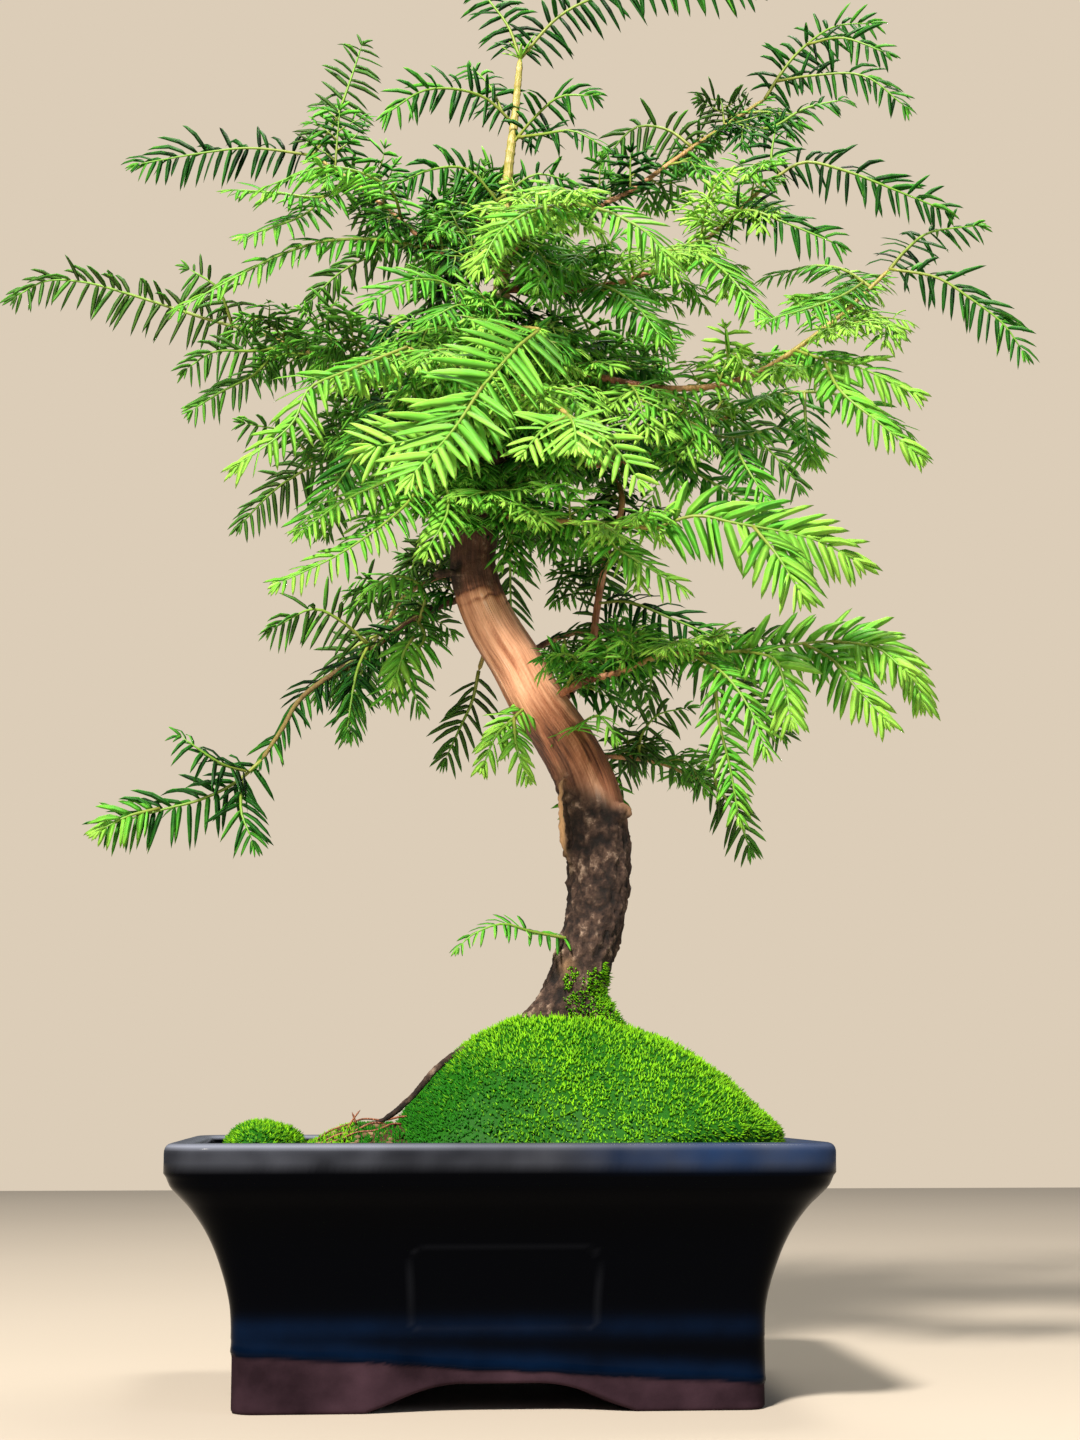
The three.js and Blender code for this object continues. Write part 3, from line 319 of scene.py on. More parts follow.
# The panel's raised line, and the slight unevenness of a hand-finished mould.
PANEL = {"x": 0.8, "z": 36.5, "half_x": 28.4, "half_z": 12.2, "corner": 4, "line": 0.8, "rise": 0.11}
across = np.abs(x - PANEL["x"]) - PANEL["half_x"] + PANEL["corner"]
along = np.abs(z - PANEL["z"]) - PANEL["half_z"] + PANEL["corner"]
reach = np.hypot(np.maximum(across, 0), np.maximum(along, 0)) + np.minimum(np.maximum(across, along), 0)
from_line = np.abs(reach - PANEL["corner"])
panel = PANEL["rise"] * smoothstep(PANEL["line"], 0, from_line) * (y < 0) * outside
uneven = 0.22 * noise_at(pot_points, 34) * outside
pot_points[:, :2] += outward * (glaze_depth * outside + panel + uneven - GLAZE_DEPTH)[:, None]


def pot_looks(tree):
    place = add_node(tree, "ShaderNodeTexCoord", out="Object")
    glazed, pooled_glaze_and_sheen, thin_glaze_and_glint = (
        add_node(tree, "ShaderNodeAttribute", out="Fac", attribute_name=mark) for mark in ("glazed", "pooled_glaze_and_sheen", "thin_glaze_and_glint")
    )
    cloud = add_node(tree, "ShaderNodeTexNoise", {"Vector": place, "Scale": 55, "Detail": 5})
    grit = add_node(tree, "ShaderNodeTexNoise", {"Vector": place, "Scale": 900, "Detail": 2})
    blue = add_node(tree, "ShaderNodeMath", {0: pooled_glaze_and_sheen, 1: cloud}, operation="MULTIPLY")
    black = add_node(tree, "ShaderNodeMix", {"Factor": thin_glaze_and_glint, "A": "#010205", "B": "#7c8292"}, data_type="RGBA")
    glaze = add_node(tree, "ShaderNodeMix", {"Factor": blue, "A": black, "B": "#10305c"}, data_type="RGBA")
    clay = add_node(tree, "ShaderNodeValToRGB", {"Fac": cloud}, stops=[(0.35, "#21161c"), (0.7, "#3c2b34")])
    colour = add_node(tree, "ShaderNodeMix", {"Factor": glazed, "A": clay, "B": glaze}, data_type="RGBA")
    gloss = add_node(
        tree, "ShaderNodeMapRange", {"Value": cloud, "From Min": 0.3, "From Max": 0.7, "To Min": 0.1, "To Max": 0.22}
    )
    height = add_node(tree, "ShaderNodeMix", {"Factor": glazed, "A": grit, "B": cloud})
    return {
        "Base Color": colour,
        "Roughness": add_node(tree, "ShaderNodeMix", {"Factor": glazed, "A": 0.8, "B": gloss}),
        "Normal": add_node(tree, "ShaderNodeBump", {"Height": height, "Strength": 0.12, "Distance": 0.6 * MM}),
    }


# Glazed stoneware: near black and glossy, blue where the glaze pooled, and greyer where it broke thin on edges. The
# rim's band and right half carry a painted reflection of the sky, its top edge a painted glint, and a band low on
# the walls a painted blue highlight.
glazed_stoneware = new_material("glazed_stoneware", pot_looks, **{"Specular IOR Level": 0.025})

x, y, z = pot_points.T
# Blue where the glaze pooled just above its line; the blue band at 25 mm is a painted highlight, and the blue on the
# rim's right half a painted reflection of the sky.
pooled_glaze_and_sheen = 0.3 * np.exp(-(((z - glaze_line - 3) / 3) ** 2)) + 0.24 * np.exp(-(((z - 25) / 3) ** 2))
pooled_glaze_and_sheen += smoothstep(70, 76, z) * smoothstep(10, 60, x)
# Greyer where the glaze is thin on the panel's raised line and on the rim's top edge, which also carries a painted
# glint, strongest on the left; the lighter rim band is a painted reflection of the sky.
thin_glaze_and_glint = 0.02 * smoothstep(PANEL["line"], 0.1, from_line) * (y < 0) * outside
thin_glaze_and_glint += (0.35 + 0.55 * smoothstep(10, -60, x)) * np.exp(-(((z - 79.2) / 0.8) ** 2)) * outside
thin_glaze_and_glint += 0.13 * smoothstep(71, 74.5, z) * (1 + 0.7 * noise_at(pot_points, 12)) * outside
pot_faces = [quads_between(len(rows), columns)[:, ::-1].tolist(), caps]
pot = make_piece(
    "glazed_pot",
    pot_points,
    pot_faces,
    [glazed_stoneware],
    {"glazed": glazed, "pooled_glaze_and_sheen": np.clip(pooled_glaze_and_sheen, 0, 1), "thin_glaze_and_glint": np.clip(thin_glaze_and_glint, 0, 1)},
)


def drill(piece, centres, radius, height):
    """Cuts upright round holes through a piece, each from a centre in millimetres."""
    sides = 48
    for number, centre in enumerate(centres):
        angles = circle(sides)
        ring = np.column_stack([np.cos(angles), np.sin(angles)]) * radius
        ends = [np.column_stack([ring, np.full(sides, side * height)]) + centre for side in (-0.5, 0.5)]
        bit_faces = [quads_between(2, sides).tolist(), lids(sides, sides)]
        bit = make_piece(f"drill_{number}", np.vstack(ends), bit_faces, [])
        cut = piece.modifiers.new("hole", "BOOLEAN")
        cut.operation, cut.object, cut.solver = "DIFFERENCE", bit, "EXACT"
        drilled = bpy.data.meshes.new_from_object(piece.evaluated_get(bpy.context.evaluated_depsgraph_get()))
        piece.modifiers.clear()
        piece.data = drilled
        bpy.data.objects.remove(bit)


drill(pot, [(side * DRAIN_SPACING / 2, 0, 12) for side in (-1, 1)], DRAIN_HOLE / 2, 14)
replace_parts(pot, "pot")
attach(pot, "root")


# Drain screens
#
# Two squares of black polyethylene mesh, cut from a sheet and laid over the drain holes before the soil goes in.
# Moulded polyethylene is dull and faintly grained.


def mesh_looks(tree):
    place = add_node(tree, "ShaderNodeTexCoord", out="Object")
    grain = add_node(tree, "ShaderNodeTexNoise", {"Vector": place, "Scale": 1400, "Detail": 3})
    colour = add_node(tree, "ShaderNodeMix", {"Factor": grain, "A": "#1b1d20", "B": "#2c2f33"}, data_type="RGBA")
    return {
        "Base Color": colour,
        "Normal": add_node(tree, "ShaderNodeBump", {"Height": grain, "Strength": 0.2, "Distance": 0.2 * MM}),
    }


moulded_polyethylene = new_material("moulded_polyethylene", mesh_looks, Roughness=0.55)
for screen in ("drain_screen_left", "drain_screen_right"):
    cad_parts[screen].data.materials.clear()
    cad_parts[screen].data.materials.append(moulded_polyethylene)


# Soil
#
# Moist, crumbly potting soil fills the pot to just under its rim, and rises under the moss and at its left edge.
# Crumbs of it and bits of grit lie loose on top.

SOIL_TOP = 76
MOUND = {
    "x": 25, "y": 2, "left": 60, "right": 67.5, "depth": 62, "rise": 45,
    "round": 2.05, "skew": 0.3, "square": 3.4, "edge": 8,  # how rounded it is, and its edge against the wall
}
SOIL_RISE = {"x": -34, "y": -6, "length": 30, "depth": 46, "rise": 8}
MOSS_DEPTH = 5


def distance_squarely(across, along):
    """Distance from the middle, by a measure in which the mound's rounded rectangle is a circle."""
    power = MOUND["square"]
    return (np.abs(across) ** power + np.abs(along) ** power) ** (1 / power)


def mound_share(x, y):
    """How far out a point lies on the mound's plan, from 0 at its middle to 1 at its foot, and the cosine there."""
    across, along = x - MOUND["x"], (y - MOUND["y"]) / MOUND["depth"]
    across = across / np.where(across < 0, MOUND["left"], MOUND["right"])
    return distance_squarely(across, along), across / np.maximum(np.hypot(across, along), 1e-6)


def mound_height(share, cosine):
    """Height over the soil: it falls to nothing at the foot, but to an edge against the wall on the right."""
    edge = MOUND["edge"] * smoothstep(-0.2, 0.8, cosine)
    return edge + (MOUND["rise"] - edge) * (1 - share ** (MOUND["round"] - MOUND["skew"] * cosine))


def soil_height(x, y):
    """Height of the soil's surface: level, with the low rise on the left and the core under the moss."""
    reach = np.hypot((x - SOIL_RISE["x"]) / SOIL_RISE["length"], (y - SOIL_RISE["y"]) / SOIL_RISE["depth"])
    rise = SOIL_RISE["rise"] * smoothstep(1.1, 0.35, reach)
    share, cosine = mound_share(x, y)
    core = np.where(share < 1, mound_height(np.minimum(share, 1), cosine) - MOSS_DEPTH, 0)
    return SOIL_TOP + np.maximum(rise, np.maximum(core, 0))


soil_counts = (50, 36, 6)
soil_columns = len(pot_ring(0, soil_counts))
below = [(POT_FLOOR + 1.6, 28), (40, 27.2), (50, 23.2), (60, 15.4), (66, 10.4), (72, 8), (75, 7.8)]
soil_rows = [np.column_stack([pot_ring(inset, soil_counts), np.full(soil_columns, z)]) for z, inset in below]
surface_rim = pot_ring(7.8, soil_counts)
for share in np.linspace(1, 0.02, 46):
    ring = surface_rim * share
    crumbs = np.column_stack([ring, np.zeros(soil_columns)])
    height = soil_height(*ring.T) + 0.9 * noise_at(crumbs, 4, 3) + 0.8 * noise_at(crumbs + 40, 13)
    soil_rows.append(np.column_stack([ring, height]))
soil_points = np.vstack(soil_rows)
soil_faces = quads_between(len(soil_rows), soil_columns).tolist()
top_ring = (len(soil_rows) - 1) * soil_columns

ICOSAHEDRON = [(0, s, t * 1.618) for s in (-1, 1) for t in (-1, 1)]
ICOSAHEDRON = np.array(ICOSAHEDRON + [(b, c, a) for a, b, c in ICOSAHEDRON] + [(c, a, b) for a, b, c in ICOSAHEDRON])
ICOSAHEDRON /= np.linalg.norm(ICOSAHEDRON[0])


def hull_faces(points):
    """Triangles of the convex hull of a few points, facing outwards."""
    faces = []
    for a in range(len(points)):
        for b in range(a + 1, len(points)):
            for c in range(b + 1, len(points)):
                normal = np.cross(points[b] - points[a], points[c] - points[a])
                side = (points - points[a]) @ normal
                if (side < 1e-6).all():
                    faces.append((a, b, c))
                elif (side > -1e-6).all():
                    faces.append((a, c, b))
    return np.array(faces)


GRAIN_COUNT = 900
GRAIN_FACES = hull_faces(ICOSAHEDRON)
soil_random = np.random.default_rng(11)
grains, grain_tones = [], []
while len(grains) < GRAIN_COUNT:
    spot = soil_random.uniform((-92, -66), (92, 66))
    share, _ = mound_share(*spot)
    if share < 1.02 or soil_random.random() > np.where(spot[0] < -20, 1, 0.5):
        continue
    size = soil_random.uniform(0.45, 1.5)
    shape = ICOSAHEDRON * soil_random.uniform(0.6, 1.2, (12, 1)) * size * (1, 1, 0.75)
    grains.append(shape + (*spot, soil_height(*spot) + 0.3 * size))
    grain_tones.append(np.full(12, soil_random.random()))
grain_faces = np.vstack([GRAIN_FACES + len(soil_points) + 12 * k for k in range(len(grains))]).tolist()
soil_tones = np.r_[0.25 + 0.2 * noise_at(soil_points, 6), np.concatenate(grain_tones)]


def soil_looks(tree):
    place = add_node(tree, "ShaderNodeTexCoord", out="Object")
    tone = add_node(tree, "ShaderNodeAttribute", out="Fac", attribute_name="tone")
    crumb = add_node(tree, "ShaderNodeTexNoise", {"Vector": place, "Scale": 700, "Detail": 4})
    shade = add_node(tree, "ShaderNodeMix", {"Factor": 0.4, "A": tone, "B": crumb})
    return {
        "Base Color": add_node(
            tree,
            "ShaderNodeValToRGB",
            {"Fac": shade},
            stops=[(0.15, "#21160f"), (0.9, "#a88c6c"), (0.5, "#5a402c")],
        ),
        "Normal": add_node(tree, "ShaderNodeBump", {"Height": crumb, "Strength": 0.6, "Distance": 0.6 * MM}),
    }


# Bark and pumice soil: moist, dark, and quite without gloss.
potting_soil = new_material("potting_soil", soil_looks, Roughness=0.93, **{"Specular IOR Level": 0.2})
soil = make_piece(
    "crumbly_soil",
    np.vstack([soil_points, *grains]),
    [soil_faces, lids(soil_columns, top_ring), grain_faces],
    [potting_soil],
    {"tone": np.clip(soil_tones, 0, 1)},
)
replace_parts(soil, "soil")
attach(soil, "root")


# Moss
#
# A close cushion of living moss wraps the raised root ball down to the rim, with a low tuft of it near the
# pot's left end and a thin growth between. Its stems end in tiny pointed leaves, lighter at their tips.

TUFT = {"x": -74, "y": -28, "length": 12.5, "depth": 19, "rise": 11}
MOSS_LEAVES = {"mound": 26000, "tuft": 3200, "soil": 26000, "trunk": 5200}  # spots tried for each
moss_random = np.random.default_rng(23)


def leaf_spikes(bases, normals, heights):
    """A closed three-sided spike at each base, leaning a little off its normal: points and faces."""
    count = len(bases)
    aims = unit(normals + moss_random.normal(0, 0.38, (count, 3)))
    east = unit(np.cross(np.where(np.abs(normals[:, 2:]) > 0.8, (1.0, 0, 0), (0, 0, 1.0)), normals))
    north = np.cross(normals, east)
    turns = moss_random.uniform(0, 2 * np.pi, count)
    thick = (0.3 + 0.12 * heights)[:, None]
    points = []
    for k in range(3):
        angle = (turns + 2 * np.pi * k / 3)[:, None]
        points.append(bases - 0.35 * normals + thick * (np.cos(angle) * east + np.sin(angle) * north))
    points.append(bases + heights[:, None] * aims)
    pattern = np.array([(0, 1, 3), (1, 2, 3), (2, 0, 3), (2, 1, 0)])
    return np.stack(points, axis=1).reshape(-1, 3), (4 * np.arange(count)[:, None, None] + pattern).reshape(-1, 3)


def moss_piece(name, points, faces, bases, normals, heights):
    """A moss cushion: its ground surface, with a tiny pointed leaf at each base."""
    spikes, spike_faces = leaf_spikes(bases, normals, heights)
    tone = 0.5 + 0.3 * noise_at(bases, 12) + 0.2 * noise_at(bases, 3) + moss_random.normal(0, 0.24, len(bases))
    # Painted shade: the mound's left flank, under the crown, is darkened. The moss at the pot's left end is darker
    # too.
    tone -= 0.85 * smoothstep(28, -22, bases[:, 0]) * smoothstep(116, 94, bases[:, 2]) * (bases[:, 0] > -45)
    tone -= 0.2 * (bases[:, 0] < -55)
    marks = {
        "tip": np.r_[np.zeros(len(points)), np.tile([0.1, 0.1, 0.1, 1], len(bases))],
        "tone": np.r_[np.full(len(points), 0.35), np.repeat(np.clip(tone, 0, 1), 4)],
    }
    all_faces = [*faces, (spike_faces + len(points)).tolist()]
    piece = make_piece(name, np.vstack([points, spikes]), all_faces, [living_moss], marks)
    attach(piece, "root")
    return piece


def moss_looks(tree):
    place = add_node(tree, "ShaderNodeTexCoord", out="Object")
    tip = add_node(tree, "ShaderNodeAttribute", out="Fac", attribute_name="tip")
    tone = add_node(tree, "ShaderNodeAttribute", out="Fac", attribute_name="tone")
    fleck = add_node(tree, "ShaderNodeTexNoise", {"Vector": place, "Scale": 420, "Detail": 2})
    deep = add_node(tree, "ShaderNodeMix", {"Factor": fleck, "A": "#083800", "B": "#1e6c00"}, data_type="RGBA")
    bright = add_node(tree, "ShaderNodeMix", {"Factor": tone, "A": "#105c00", "B": "#96e80c"}, data_type="RGBA")
    colour = add_node(tree, "ShaderNodeMix", {"Factor": tip, "A": deep, "B": bright}, data_type="RGBA")
    return {"Base Color": colour}


# Living moss: soft, wet enough for a faint sheen, and light passes through its leaf tips.
living_moss = new_material(
    "living_moss",
    moss_looks,
    Roughness=0.65,
    **{
        "Specular IOR Level": 0.2,
        "Subsurface Weight": 0.15,
        "Subsurface Radius": (0.6, 1, 0.2),
        "Subsurface Scale": MM,
    },
)


def ring_surface(rings):
    """A closed surface through rings of points from the foot up, with its points, faces and normals."""
    rows, columns = len(rings), len(rings[0])
    points = np.vstack(rings)
    faces = [quads_between(rows, columns).tolist(), lids(columns, (rows - 1) * columns)]
    grid = points.reshape(rows, columns, 3)
    normals = np.cross(np.roll(grid, -1, 1) - np.roll(grid, 1, 1), np.gradient(grid, axis=0))
    normals /= np.maximum(np.linalg.norm(normals, axis=2, keepdims=True), 1e-9)
    return points, faces, normals.reshape(-1, 3)


def scatter(points, normals, columns, count, keep=None):
    """Evenly spread spots on a ring surface: a base and a normal for each."""
    grid, slopes = points.reshape(-1, columns, 3), normals.reshape(-1, columns, 3)
    corner = np.linalg.norm(np.roll(grid, -1, 1)[:-1] - grid[:-1], axis=2)
    areas = (corner * np.linalg.norm(grid[1:] - grid[:-1], axis=2)).ravel()
    cells = moss_random.choice(len(areas), count, p=areas / areas.sum())
    row, column = cells // columns, cells % columns
    beside = (column + 1) % columns
    u, v = moss_random.random((2, count, 1))
    spots = (1 - v) * ((1 - u) * grid[row, column] + u * grid[row, beside])
    spots += v * ((1 - u) * grid[row + 1, column] + u * grid[row + 1, beside])
    kept = np.ones(count, bool) if keep is None else keep(spots)
    return spots[kept], slopes[row, column][kept]


mound_columns = 120
angles = circle(mound_columns)
mound_rings = []
for share in [1, *np.linspace(1, 0.05, 38)]:
    cosine, sine = np.cos(angles), np.sin(angles)
    square = distance_squarely(cosine, sine)
    reach = share / square * np.where(cosine < 0, MOUND["left"], MOUND["right"])
    ring = np.column_stack([MOUND["x"] + reach * cosine, MOUND["y"] + MOUND["depth"] * share / square * sine])
    height = SOIL_TOP - 0.6 + mound_height(share, cosine) + 1.1 * np.sin(5 * angles + 7 * share) * share
    mound_rings.append(np.column_stack([ring, height]))
mound_rings[0][:, 2] = SOIL_TOP - 3
mound_points, mound_faces, mound_normals = ring_surface(mound_rings)
lumps = 1.3 * noise_at(mound_points, 12) + 0.6 * noise_at(mound_points, 4)
lumps[:mound_columns] = 0
mound_points += mound_normals * lumps[:, None]


def clear_of_trunk(spots):
    return np.hypot(spots[:, 0] - 26, spots[:, 1]) > 11


bases, normals = scatter(mound_points, mound_normals, mound_columns, MOSS_LEAVES["mound"], clear_of_trunk)
mound = moss_piece(
    "moss_cushion", mound_points, mound_faces, bases, normals, moss_random.uniform(0.9, 2.3, len(bases))
)
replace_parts(mound, "moss_mound")


def hump_rings(hump, foot, columns, rows):
    """Rings of a low, slightly uneven hump."""
    turns = circle(columns)
    rings = []
    for share in np.linspace(0, 0.97, rows):
        spread = np.cos(np.pi / 2 * share) ** 0.7 * (1 + 0.1 * np.sin(3 * turns + 1))
        across = hump["x"] + hump["length"] * spread * np.cos(turns)
        along = hump["y"] + hump["depth"] * spread * np.sin(turns)
        height = np.full(columns, foot + hump["rise"] * np.sin(np.pi / 2 * share))
        rings.append(np.column_stack([across, along, height]))
    return rings


tuft_columns = 48
tuft_points, tuft_faces, tuft_normals = ring_surface(hump_rings(TUFT, SOIL_TOP - 2, tuft_columns, 14))
tuft_points += tuft_normals * (0.9 * noise_at(tuft_points, 7))[:, None]
bases, normals = scatter(tuft_points, tuft_normals, tuft_columns, MOSS_LEAVES["tuft"])
tuft = moss_piece("moss_low_tuft", tuft_points, tuft_faces, bases, normals, moss_random.uniform(0.9, 2.1, len(bases)))
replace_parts(tuft, "moss_tuft")

# Thin moss creeping over the soil between the tuft and the mound, and along the pot's edges, in patches.
spots = moss_random.uniform((-90, -66), (90, 66), (MOSS_LEAVES["soil"], 2))
level = np.column_stack([spots, np.zeros(len(spots))])
share, _ = mound_share(*spots.T)
patchy = noise_at(level, 15) + 0.5 * noise_at(level + 30, 5) + 0.8 * smoothstep(-10, -36, spots[:, 0])
kept = (share > 0.96) & (share < 1.5) & (patchy > 0.2)
bases = np.column_stack([spots[kept], soil_height(*spots[kept].T) + 0.3])
upright = np.tile((0.0, 0.0, 1.0), (len(bases), 1))
moss_piece("moss_creeping", np.zeros((0, 3)), [], bases, upright, moss_random.uniform(0.7, 1.8, len(bases)))


# Trunk
#
# The trunk that leans, bends back and runs up into a slim leader, with its spread foot and pruned stubs. Old bark
# low down is dark, thick and flaky; above it young bark is copper-coloured, smooth and streaked lengthwise.

# Points on the axis, with the radius at each
TRUNK = [
    (23, 0, 64, 9), (23, 0, 90, 13), (24, 0, 106, 15), (26, 0, 122, 12.3), (30, 0, 137, 10),
    (34, 1, 150, 9.5), (36, 3, 165, 10.3), (36, 5, 179, 10.8), (34, 6, 193, 10.5), (30, 7, 204, 10),
    (24, 7, 215, 9.5), (16, 5, 226, 9.2), (8, 3, 240, 8.9), (0, 0, 252, 8.5), (-5, -2, 263, 8),
    (-7, -4, 273, 7.3), (-5, -5, 287, 6.5), (-2, -5, 305, 5.5), (0, -4, 323, 4.6), (1, -2, 341, 3.8),
    (2, 0, 360, 2.7), (3, 1, 378, 2.2), (4, 1, 396, 1.9), (5, 0, 415, 1.7), (7, 0, 433, 1.45),
    (9, 0, 456, 1.2),
]

BRANCHES = {
    "upper_left": ((2, 1.2), [(3, 0, 381), (-8, 6, 383), (-20, 10, 388), (-32, 14, 400), (-50, 18, 416),
        (-64, 20, 426)]),
    "long_left": ((2.4, 1.3), [(2, -1, 354), (-15, 14, 352), (-35, 28, 353), (-58, 38, 357), (-82, 46, 368)]),
    "front_left": ((2, 1.4), [(1, -3, 330), (-9, -25, 328), (-22, -42, 330), (-31, -52, 332)]),
    "low_left": ((2, 1.3), [(-2, -5, 306), (-14, -12, 309), (-24, -14, 316), (-32, -12, 325)]),
    "upper_right": ((2.1, 1.2), [(4, 1, 389), (24, 8, 399), (48, 14, 413), (72, 18, 432), (100, 20, 453)]),
    "mid_right": ((2.1, 1.2), [(2, 0, 371), (22, -10, 367), (46, -16, 370), (66, -20, 379), (94, -24, 404)]),
    "far_right": ((2.5, 1.2), [(2, -1, 350), (29, -14, 337), (61, -24, 329), (84, -30, 332), (113, -36, 351),
        (131, -38, 368)]),
    "under_right": ((2, 1.2), [(-1, -4, 315), (23, 4, 310), (48, 8, 312), (65, 8, 319), (86, 4, 330), (104, 0, 336)]),
    "front_low_right": ((2.1, 1.4), [(-5, -5, 289), (14, -30, 281), (32, -48, 276), (48, -58, 272)]),
    "front_up": ((1.8, 1.3), [(3, 0, 376), (8, -20, 381), (16, -38, 384), (24, -50, 383)]),
    "front_mid": ((1.9, 1.4), [(2, -1, 350), (4, -30, 345), (7, -50, 340), (11, -64, 335)]),
    "front_star": ((2, 1.4), [(1, -4, 328), (6, -40, 320), (13, -66, 311), (18, -82, 302)]),
    "upright": ((2.9, 1.2), [(20, 6, 222), (30, 14, 235), (35, 18, 246), (38, 20, 265), (42, 18, 285),
        (46, 14, 298), (44, 26, 317), (39, 40, 352)]),
    "low_right": ((2.6, 1.2), [(18, 4, 226), (30, -8, 231), (42, -18, 233), (54, -26, 237), (70, -32, 237)]),
    "behind_right": ((2.1, 1.2), [(28, 7, 209), (42, 26, 211), (61, 34, 210), (77, 38, 204)]),
    "low_left_long": ((2.4, 1.3), [(-5, -2, 261), (-15, 14, 262), (-28, 24, 257), (-41, 28, 248),
        (-65, 26, 230), (-71, 22, 219), (-78, 18, 207)]),
    "low_back_left": ((1.7, 1.3), [(1, 0, 249), (-1, 24, 248), (-3, 34, 242)]),
    "back_top": ((1.9, 1.3), [(4, 1, 396), (0, 20, 404), (-8, 42, 411), (-13, 60, 411)]),
    "back_left": ((2.1, 1.3), [(-2, -5, 305), (-14, 20, 318), (-32, 48, 329), (-50, 68, 330)]),
    "back_right": ((2.1, 1.3), [(1, -2, 341), (20, 24, 352), (48, 48, 358), (72, 64, 354)]),
    "back_middle": ((2, 1.3), [(0, -4, 323), (3, 28, 322), (8, 58, 317), (10, 82, 308)]),
    "back_low_right": ((2.2, 1.3), [(8, 3, 240), (26, 30, 254), (48, 54, 262), (66, 68, 260)]),
    "back_low_left": ((2.1, 1.3), [(-5, -2, 263), (-16, 24, 273), (-28, 46, 272), (-36, 64, 264)]),
}

STUBS = {
    "broken_twig": ((1.5, 1.2), [(-5, -3, 266), (-14, -11, 267), (-21, -17, 265)]),
    "pruned_nub": ((4.4, 2.6), [(36, 4, 186), (42, -1, 187.5), (46.4, -3.4, 189)]),
    "left_bump": ((3.4, 1.8), [(34, 3, 172), (27, 0, 173.5), (23.8, -2, 174.5)]),
    "peeled_strip": ((1.2, 0.9), [(26.5, -2, 170), (24.4, -3, 174), (23, -3.4, 184), (22.6, -3, 194), (24, -2, 200)]),
    "left_buttress": ((9, 5.5), [(27, 0, 128), (13, -5, 112), (-1, -9, 96)]),
    "right_buttress": ((9, 5), [(27, 0, 126), (38, -6, 112), (48, -12, 98)]),
    "back_buttress": ((8, 5), [(26, 2, 124), (24, 14, 110), (22, 26, 96)]),
    "surface_root": ((1.5, 0.9), [(12, -4, 106), (-8, -9, 109), (-18, -13, 103), (-27, -17, 93), (-36, -19, 86),
        (-48, -20, 82), (-55, -21, 75)]),
}

ASLANT = (0.31, 0.17, 0.93)  # a direction that no limb sets out in


def frames_along(path, step, up=ASLANT):
    """Points along a smooth path, with the directions along it and two more square to it that don't twist."""
    at = spline([p[:3] for p in path], step)
    along = unit(np.gradient(at, axis=0))
    ups, up = np.empty_like(along), np.array(up, float)
    for k, direction in enumerate(along):
        up = up - up @ direction * direction
        up /= np.linalg.norm(up)
        ups[k] = up
    return at, along, ups, np.cross(ups, along)


def tube(path, radii, sides, step, up=ASLANT, collar=0):
    """Rings of a round limb, its radii spread evenly along it, its end rounded off and its foot flared."""
    at, along, ups, across = frames_along(path, step, up)
    radius = np.interp(np.linspace(0, 1, len(at)), np.linspace(0, 1, len(radii)), radii)
    travelled = np.arange(len(at)) * np.linalg.norm(at[1] - at[0])
    to_end = np.clip((travelled[-1] - travelled) / radius[-1], 0.02, 1)
    radius = radius * np.sqrt(1 - (1 - to_end) ** 2) * (1 + collar * np.exp(-travelled / 3.5))
    turns = circle(sides)[:, None]
    square = np.cos(turns) * across[:, None] + np.sin(turns) * ups[:, None]
    return at[:, None] + radius[:, None, None] * square


def tube_faces(rows, sides, start=0):
    last = start + (rows - 1) * sides
    ends = [list(range(start + sides - 1, start - 1, -1)), list(range(last, last + sides))]
    return quads_between(rows, sides, start).tolist() + ends


def skin_of(limbs, voxel):
    """One closed skin round overlapping limbs, softened where they join: its points, normals and faces."""
    points, faces = [], []
    for rings in limbs:
        faces += tube_faces(*rings.shape[:2], start=sum(map(len, points)))
        points.append(rings.reshape(-1, 3))
    rough = make_piece("rough_skin", np.vstack(points), [faces], [])
    remesh = rough.modifiers.new("skin", "REMESH")
    remesh.mode, remesh.voxel_size = "VOXEL", voxel * MM
    soften = rough.modifiers.new("soften", "SMOOTH")
    soften.factor, soften.iterations = 0.5, 4
    skin = bpy.data.meshes.new_from_object(rough.evaluated_get(bpy.context.evaluated_depsgraph_get()))
    bpy.data.objects.remove(rough)
    corners = np.array([vertex.co[:] for vertex in skin.vertices]) / MM
    normals = np.array([vertex.normal[:] for vertex in skin.vertices])
    return corners, normals, [list(polygon.vertices) for polygon in skin.polygons]


trunk_radii = [r for *_, r in TRUNK]
limbs = [tube(TRUNK, trunk_radii, 28, 1.2)]
limbs += [tube(path, radii, 16, 1) for radii, path in STUBS.values()]
BARK_VOXEL = 0.8
bark_points, bark_normals, bark_faces = skin_of(limbs, BARK_VOXEL)

# Each point's place on the straightened trunk: two steps off its axis, and the distance along it.
axis, axis_along, axis_up, axis_across = frames_along(TRUNK, 1)
axis_tree = KDTree(len(axis))
for number, place in enumerate(axis):
    axis_tree.insert(place, number)
axis_tree.balance()
nearest = np.array([axis_tree.find(p)[1] for p in bark_points.tolist()])
off = bark_points - axis[nearest]
ahead = nearest + (off * axis_along[nearest]).sum(axis=1)
straight = np.column_stack([(off * axis_across[nearest]).sum(axis=1), (off * axis_up[nearest]).sum(axis=1), ahead])
height = bark_points[:, 2]

